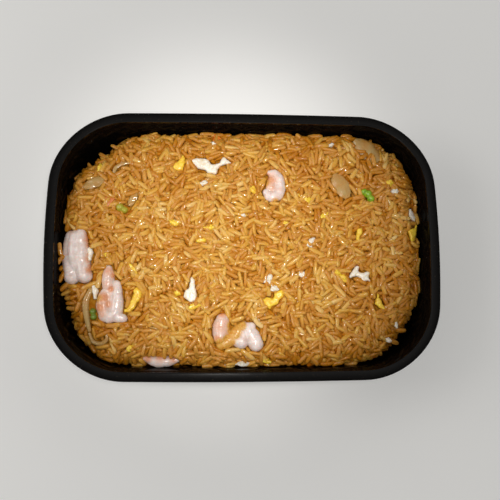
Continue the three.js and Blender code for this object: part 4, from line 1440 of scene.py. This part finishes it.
@dataclass
class RiceGrains:
    """Grains of cooked rice that come to rest one by one where the heap is lowest."""

    lengths: tuple[float, ...] = (6.6, 8.0, 9.2, 10.4)
    thickness: float = 3.0
    bends: tuple[float, ...] = (0.1, 0.45, 0.8)
    ridge: float = 0.07
    widths: tuple[float, float] = (0.8, 1.1)
    cell: float = 0.45
    headings: int = 30
    rounds: tuple[Sowing, ...] = (Sowing(2600, -1.2, 0.3), Sowing(2300, 0.8, 0.3))
    top_count: int = 2400
    tries: int = 5
    survey_every: int = 50
    edge_width: float = 5
    steepest: float = 0.5
    least_seen: float = 0.4
    most_hidden: float = 0.2
    off_wall: float = 1.5
    strays: tuple[tuple[float, float, float, float], ...] = (
        (-103.5, -2.2, 37.2, 98), (-103.2, -7.6, 36, 48), (-102, -12.2, 34, 20), (-102.2, -17, 35, 62),
        (-100.4, -22, 33, 40), (-98.6, -25.2, 32.6, 25), (-97.4, -28.6, 32, 12), (-96.6, -31.8, 31.6, 4),
        (-95.8, -35, 31, -6),
    )
    stray_slope: float = 0.12
    fringe: int = 200
    fringe_out: tuple[float, float] = (-1.6, 2.0)
    fringe_fall: tuple[float, float] = (0.0, 0.6)
    fringe_sink: tuple[float, float] = (-0.4, 4.0)
    fringe_turn: float = 0.5
    fringe_over: float = 9.0
    tone: tuple[float, float] = (0.56, 0.26)
    # Painted shade: grains darken by this much towards the ends and sides of the heap, over the reach that
    # follows, where the light falls off.
    painted_end_shade: float = 0.26
    end_reach: tuple[float, float] = (103, 68)
    seed: int = 12

    def _profile(self, share: Array) -> Array:
        """The half thickness of a grain at a share of its half length."""
        return self.thickness / 2 * (1 - 0.1 * share**2) * np.sqrt(np.clip(1 - np.abs(share) ** 6, 0, 1))

    def _footprints(self, columns: int) -> list[list[Footprint]]:
        """The cells under each length of grain at each heading."""
        table = []
        for length in self.lengths:
            row = []
            span = int(length / 2 / self.cell) + 2
            i, j = np.meshgrid(np.arange(-span, span + 1), np.arange(-span, span + 1), indexing="ij")
            for k in range(self.headings):
                angle = math.pi * k / self.headings
                u = self.cell * (i * math.cos(angle) + j * math.sin(angle))
                v = self.cell * (j * math.cos(angle) - i * math.sin(angle))
                radius = self._profile(2 * u / length)
                under = (np.abs(2 * u / length) < 1) & (np.abs(v) < radius)
                along = u[under]
                row.append(Footprint(
                    cells=(i * columns + j)[under],
                    along=along,
                    drop=np.sqrt(radius[under] ** 2 - v[under] ** 2),
                    tail=np.flatnonzero(along < -0.15 * length),
                    head=np.flatnonzero(along > 0.15 * length),
                ))
            table.append(row)
        return table

    def _ground(self, heap: Heap, tray: Tray, toppings: list[bpy.types.Object]) -> Ground:
        """The raster as it is before the first grain.

        Args:
            heap: The form of the heap.
            tray: The tray, whose walls grains stay off.
            toppings: Pieces that grains lie round and against.

        Returns:
            The raster, with the core as its level.
        """
        beyond = 6
        xs = np.arange(-tray.length / 2 - beyond, tray.length / 2 + beyond, self.cell)
        ys = np.arange(-tray.width / 2 - beyond, tray.width / 2 + beyond, self.cell)
        x, y = (axis.ravel() for axis in np.meshgrid(xs, ys, indexing="ij"))
        goal, edge = heap.top(x, y), heap.inside(x, y)
        ragged = np.array([noise.noise(Vector((a / 4, b / 4, 8.0))) for a, b in zip(x, y)])
        swirl = np.array([noise.noise(Vector((a / 13, b / 13, 3.0))) for a, b in zip(x, y)])
        is_open = (tray.room(x, y, goal) > 1.3) & (edge > 3 * ragged - 2.2)
        level = goal - heap.core_depth
        covered = np.zeros(len(goal), dtype=bool)
        ground = Ground(x, y, len(ys), self.cell, goal, level, covered, edge, swirl, is_open)
        for piece in toppings:
            points = points_of(piece)
            points = points[points[:, 2] > heap.top(points[:, 0], points[:, 1])]
            covered[ground.index(points[:, 0], points[:, 1])] = True
        return ground

    def _offer(self, ground: Ground, marks: list[list[Footprint]], sowing: Sowing, total: Array,
               draw: np.random.Generator) -> Offer:
        """Lets one grain of a random length come to rest at a low place.

        Args:
            ground: The raster so far.
            marks: The cells under each length of grain at each heading.
            sowing: The round of laying.
            total: The running total of how much each cell wants a grain.
            draw: Where random numbers come from.

        Returns:
            The place and how it would look.
        """
        base = int(np.searchsorted(total, draw.random() * total[-1]))
        size = int(draw.integers(len(self.lengths)))
        at_edge = ground.edge[base] < self.edge_width
        lean = ground.swirl[base] * 1.6 + draw.normal(0, 0.7 if at_edge else 0.22)
        turn = int(lean * self.headings) % self.headings
        mark = marks[size][turn]
        below = ground.level[base + mark.cells]
        need = below + mark.drop
        a = mark.tail[need[mark.tail].argmax()]
        b = mark.head[need[mark.head].argmax()]
        limit = self.steepest * (2 if at_edge else 1)
        slope = float(np.clip((need[b] - need[a]) / (mark.along[b] - mark.along[a]), -limit, limit))
        slope += draw.normal(0, 0.1)
        rank = int(sowing.give * len(need)) + 1
        centre = float(np.partition(need - slope * mark.along, -rank)[-rank])
        centre = min(centre, ground.goal[base] + sowing.proud)
        seen = float((centre + slope * mark.along + mark.drop > below).mean())
        hidden = float(ground.covered[base + mark.cells].mean())
        return Offer(hidden * 3 - seen, base, size, turn, slope, centre, seen, hidden)

    def lay(self, heap: Heap, tray: Tray, toppings: list[bpy.types.Object]) -> list[Grain]:
        """Drops grains on the core until the heap is full, then adds those at its edge.

        Args:
            heap: The form of the heap.
            tray: The tray, whose walls grains stay off.
            toppings: Pieces that grains lie round and against.

        Returns:
            The grains, in the order in which they were laid.
        """
        draw = np.random.default_rng(self.seed)
        ground = self._ground(heap, tray, toppings)
        level = ground.level
        marks = self._footprints(ground.columns)
        grains: list[Grain] = []
        for sowing in self.rounds:
            laid = missed = 0
            tired = np.zeros(len(level))
            total = np.zeros(1)
            while laid < sowing.count and missed < 2 * sowing.count:
                if (laid + missed) % self.survey_every == 0:
                    want = np.clip(ground.goal + sowing.proud - level - tired, 0.02, 3) * ground.is_open
                    total = np.cumsum(want**2)
                best = min(self._offer(ground, marks, sowing, total, draw) for _ in range(self.tries))
                x, y, slope = ground.x[best.base], ground.y[best.base], best.slope
                half = self.lengths[best.size] / 2 / math.sqrt(1 + slope**2)
                angle = math.pi * best.turn / self.headings
                ends = np.array([-half, 0, half])
                ex, ey = x + ends * math.cos(angle), y + ends * math.sin(angle)
                clear = tray.room(ex, ey, best.centre + ends * slope).min() > self.off_wall
                mark = marks[best.size][best.turn]
                spot = best.base + mark.cells
                if best.seen < self.least_seen or best.hidden > self.most_hidden or not clear:
                    missed += 1
                    tired[spot] += 0.15
                    continue
                laid += 1
                level[spot] = np.maximum(level[spot], best.centre + slope * mark.along + mark.drop)
                over = best.centre - ground.goal[best.base]
                grains.append(Grain(x, y, best.centre, angle, slope, best.size, over))
            log.info("%d grains laid, %d left out", laid, missed)
        return grains + self._edge_grains(heap, tray, ground, draw)

    def _edge_grains(self, heap: Heap, tray: Tray, ground: Ground, draw: np.random.Generator) -> list[Grain]:
        """The grains listed for the left wall, then loose ones all round the edge of the heap.

        Args:
            heap: The form of the heap.
            tray: The tray, whose walls the loose ones stay off.
            ground: The raster, which tells where toppings lie.
            draw: Where random numbers come from.

        Returns:
            The grains.
        """
        grains = []
        for x, y, z, turn in self.strays:
            size = int(draw.integers(len(self.lengths)))
            grains.append(Grain(x, y, z, math.radians(turn), self.stray_slope, size, self.fringe_over))
        step = np.array([0.5, 0, -0.5, 0])
        nearby = np.arange(-3, 4)
        for _ in range(self.fringe):
            angle = draw.uniform(-math.pi, math.pi)
            angle = math.atan2(math.sin(angle) * heap.reach_back, math.cos(angle) * heap.reach_x)
            reach = float(heap.outline(np.array([angle]))[0])
            x, y = math.cos(angle) * reach, math.sin(angle) * reach
            near = heap.inside(x + step, y + np.roll(step, 1))
            outward = math.atan2(near[3] - near[1], near[2] - near[0])
            size = int(draw.integers(len(self.lengths)))
            heading = outward + draw.normal(0, self.fringe_turn)
            out = draw.uniform(*self.fringe_out)
            cx, cy = x + out * math.cos(outward), y + out * math.sin(outward)
            slope = -draw.uniform(*self.fringe_fall)
            z = heap.top_at(x, y) - draw.uniform(*self.fringe_sink)
            ends = np.array([-0.5, 0, 0.5]) * self.lengths[size]
            ex, ey = cx + ends * math.cos(heading), cy + ends * math.sin(heading)
            cells = ground.index(ex, ey)[:, None, None] + nearby[:, None] * ground.columns + nearby
            if ground.covered[cells].any():
                continue
            if tray.room(ex, ey, z + ends * slope).min() > self.off_wall:
                grains.append(Grain(cx, cy, z, heading, slope, size, self.fringe_over))
        return grains

    def _base(self, length: float, rings: int, bend: float) -> tuple[Array, Array]:
        """One grain along X, made from a ball.

        Args:
            length: Its length.
            rings: How many rings of faces it has.
            bend: How far its middle is bent to the side.

        Returns:
            Its points and its triangles.
        """
        bpy.ops.object.select_all(action="DESELECT")
        bpy.ops.mesh.primitive_uv_sphere_add(segments=8 if rings > 5 else 6, ring_count=rings, radius=MM)
        ball = bpy.context.object
        modify(ball, "TRIANGULATE")
        unit, net = taken_apart(ball)
        share = np.sign(unit[:, 2]) * np.abs(unit[:, 2]) ** 0.55
        round_ = np.hypot(unit[:, 0], unit[:, 1])
        ridge = 1 + self.ridge * np.cos(4 * np.arctan2(unit[:, 1], unit[:, 0]))
        around = np.divide(unit[:, :2].T, np.maximum(round_, 1e-6)) * self._profile(share * 0.985) * ridge
        around[:, round_ < 1e-3] = 0
        shape = np.column_stack([
            share * length / 2,
            around[0] * (1 - 0.1 * share) + bend * (0.4 - share**2),
            around[1] * 0.94,
        ])
        return shape, net

    def _mesh(self, name: str, grains: list[Grain], rings: int,
              draw: np.random.Generator) -> bpy.types.Object:
        """Copies the grain shapes to where the grains lie, as one piece.

        Args:
            name: The piece's name.
            grains: The grains that it shows.
            rings: How many rings of faces each grain has.
            draw: Where random numbers come from.

        Returns:
            The piece, which keeps each point's tone, with painted shade towards the ends of the heap and
            painted highlights along the ridges in it.
        """
        shapes = [[self._base(length, rings, bend) for bend in self.bends] for length in self.lengths]
        points, faces, tones = [], [], []
        first = 0
        for grain in grains:
            shape, net = shapes[grain.size][int(draw.integers(len(self.bends)))]
            flat = 1 / math.sqrt(1 + grain.slope**2)
            cos, sin = math.cos(grain.heading), math.sin(grain.heading)
            ahead = np.array([cos * flat, sin * flat, grain.slope * flat])
            side = np.array([-sin, cos, 0])
            up = np.cross(ahead, side)
            roll = draw.uniform(0, 2 * math.pi)
            width = draw.uniform(*self.widths)
            frame_of = np.array([
                ahead,
                (side * math.cos(roll) + up * math.sin(roll)) * width,
                (up * math.cos(roll) - side * math.sin(roll)) * width,
            ])
            points.append(shape @ frame_of + (grain.x, grain.y, grain.z))
            faces.append(net + first)
            first += len(shape)
            along = 2 * shape[:, 0] / self.lengths[grain.size]
            # Painted highlight and shade: the tone is lighter along each grain's lengthwise ridges and darker
            # in the grooves between them.
            painted_ridge_light = np.cos(4 * np.arctan2(shape[:, 2], shape[:, 1]))
            # Painted shade: the tone drops towards the ends and sides of the heap.
            ends = (grain.x / self.end_reach[0]) ** 2 + (grain.y / self.end_reach[1]) ** 2
            tone = draw.normal(*self.tone) - self.painted_end_shade * min(ends, 1.1)
            tones.append(tone + draw.normal(0, 0.16) * along + 0.1 * painted_ridge_light)
        piece = mesh_piece(name, np.vstack(points), np.vstack(faces))
        keep_value(piece, "tone", np.clip(np.concatenate(tones), 0, 1))
        return piece

    def build(self, heap: Heap, tray: Tray, toppings: list[bpy.types.Object]) -> None:
        """Lays the grains and makes the pieces that show them.

        Args:
            heap: The form of the heap.
            tray: The tray that holds it.
            toppings: Pieces that grains lie round and against.
        """
        grains = self.lay(heap, tray, toppings)
        order = sorted(grains, key=lambda grain: -grain.over)
        draw = np.random.default_rng(self.seed + 1)
        top = self._mesh("rice_top", order[: self.top_count], 6, draw)
        settle(top, "rice_top", Slot.RICE, WetRice().material(), "rice")
        bed = self._mesh("rice_bed", order[self.top_count :], 5, draw)
        # The grains that lie lower get a copy of the rice that is darker (painted shade) and less glossy.
        settle(bed, "rice_bed", Slot.RICE, WetRice("wet_rice_low", 0.14, 0.3).material())


@dataclass
class OilBeads:
    """Small beads of oil and sauce on the inner wall."""

    count: int = 90
    heights: tuple[float, float] = (31, 40)
    radii: tuple[float, float] = (0.12, 0.42)
    stretch: tuple[float, float] = (0.7, 1.5)
    seed: int = 5

    @staticmethod
    def _wall_at(tray: Tray, dx: float, dy: float, z: float) -> float:
        """How far the inner wall is from the middle in a direction, found by halving."""
        near, far = 40.0, 130.0
        for _ in range(24):
            middle = (near + far) / 2
            if tray.room(np.array(dx * middle), np.array(dy * middle), np.array(z)) > 0:
                near = middle
            else:
                far = middle
        return near

    def build(self, tray: Tray) -> None:
        """Models the beads on the wall and dresses them.

        Args:
            tray: The tray whose wall they sit on.
        """
        draw = np.random.default_rng(self.seed)
        bpy.ops.object.select_all(action="DESELECT")
        bpy.ops.mesh.primitive_ico_sphere_add(subdivisions=2, radius=MM)
        unit, net = taken_apart(bpy.context.object)
        points, faces = [], []
        while len(points) < self.count:
            angle = draw.uniform(0, 2 * math.pi)
            z = draw.uniform(*self.heights)
            dx, dy = math.cos(angle), math.sin(angle)
            away = self._wall_at(tray, dx, dy, z)
            radius = draw.uniform(*self.radii)
            half = (radius, radius, radius * draw.uniform(*self.stretch))
            faces.append(net + len(unit) * len(points))
            points.append(unit * half + (dx * away, dy * away, z))
        piece = mesh_piece("oil_beads", np.vstack(points), np.vstack(faces))
        settle(piece, "oil_beads", Slot.TRAY, ClearOil().material())


# The studio


@dataclass
class Studio:
    """A pale floor, the camera and the lights. Places and sizes of lights are metres, powers watts."""

    floor_side: float = 4
    distance: float = 400
    aim_height: float = 45
    roll: float = -0.22
    pitch: float = -8.7
    yaw: float = 3.7
    shift_right: float = 2.7
    shift_down: float = 3.3
    lens: float = 51.48
    sensor: float = 36
    flash_at: Point = (-0.005, -0.045, 0.44)
    flash_aim: Point = (-0.008, 0.012, 0.035)
    flash_power: float = 5.3
    flash_cone: float = 35
    flash_radius: float = 0.03
    side_at: Point = (-0.62, 0.1, 0.55)
    side_aim: Point = (0, 0, 0.03)
    side_power: float = 1.2
    side_size: float = 0.4
    day: Point = (1.0, 0.98, 0.95)
    day_strength: float = 0.36

    def _camera_turn(self) -> Matrix:
        """The camera's turn, from the tray's roll, pitch and yaw in the picture."""
        roll = Matrix.Rotation(math.radians(self.roll), 3, "Z")
        pitch = Matrix.Rotation(math.radians(self.pitch), 3, "X")
        yaw = Matrix.Rotation(math.radians(self.yaw), 3, "Y")
        return (yaw @ pitch @ roll).transposed()

    def _camera(self) -> None:
        """Adds the camera over the tray."""
        turn = self._camera_turn()
        camera = bpy.data.cameras.new("camera")
        camera.lens = self.lens
        camera.sensor_width = self.sensor
        camera.clip_start = 0.01
        viewer = bpy.data.objects.new("camera", camera)
        back = turn @ Vector((self.shift_right, -self.shift_down, self.distance))
        place = back + Vector((0, 0, self.aim_height))
        viewer.matrix_world = Matrix.Translation(place * MM) @ turn.to_4x4()
        bpy.context.scene.collection.objects.link(viewer)
        bpy.context.scene.camera = viewer

    @staticmethod
    def _hang(lamp: bpy.types.Light, at: Point, aim: Point) -> None:
        """Puts a light in its place and turns it to a point.

        Args:
            lamp: The light.
            at: Where it is.
            aim: What it faces.
        """
        light = bpy.data.objects.new(lamp.name, lamp)
        light.location = at
        light.rotation_euler = (Vector(at) - Vector(aim)).to_track_quat("Z", "Y").to_euler()
        bpy.context.scene.collection.objects.link(light)

    def _flash(self) -> None:
        """Adds the light beside the camera, which fades towards the ends of the tray."""
        lamp = bpy.data.lights.new("flash", "SPOT")
        lamp.energy = self.flash_power
        lamp.color = (1.0, 0.97, 0.93)
        lamp.spot_size = math.radians(self.flash_cone)
        lamp.spot_blend = 1.0
        lamp.shadow_soft_size = self.flash_radius
        self._hang(lamp, self.flash_at, self.flash_aim)

    def _side_light(self) -> None:
        """Adds a square soft light at the left."""
        lamp = bpy.data.lights.new("side", "AREA")
        lamp.shape = "SQUARE"
        lamp.size = self.side_size
        lamp.energy = self.side_power
        lamp.color = self.day
        self._hang(lamp, self.side_at, self.side_aim)

    def build(self) -> None:
        """Adds the floor, the camera, the lights and the light from all round."""
        bpy.ops.object.select_all(action="DESELECT")
        bpy.ops.mesh.primitive_plane_add(size=self.floor_side)
        floor = bpy.context.object
        floor.name = "floor"
        floor.data.materials.append(PaleBoard().material())
        self._camera()
        self._flash()
        self._side_light()
        world = bpy.data.worlds.new("studio")
        world.use_nodes = True
        shade = world.node_tree.nodes["Background"]
        shade.inputs["Color"].default_value = (*self.day, 1)
        shade.inputs["Strength"].default_value = self.day_strength
        bpy.context.scene.world = world
        bpy.context.scene.view_settings.view_transform = "Standard"


def main() -> None:
    """Builds everything in order."""
    logging.basicConfig(level=logging.INFO, format="%(message)s")
    noise.seed_set(NOISE_SEED)
    tray, heap = Tray(), Heap()
    tray.build()
    heap.build_core(tray)
    toppings = [*Shrimps().build(heap), *Onions().build(heap), *Eggs().build(heap), *Vegetables().build(heap)]
    RiceGrains().build(heap, tray, toppings)
    OilBeads().build(tray)
    Studio().build()


if __name__ == "__main__":
    main()
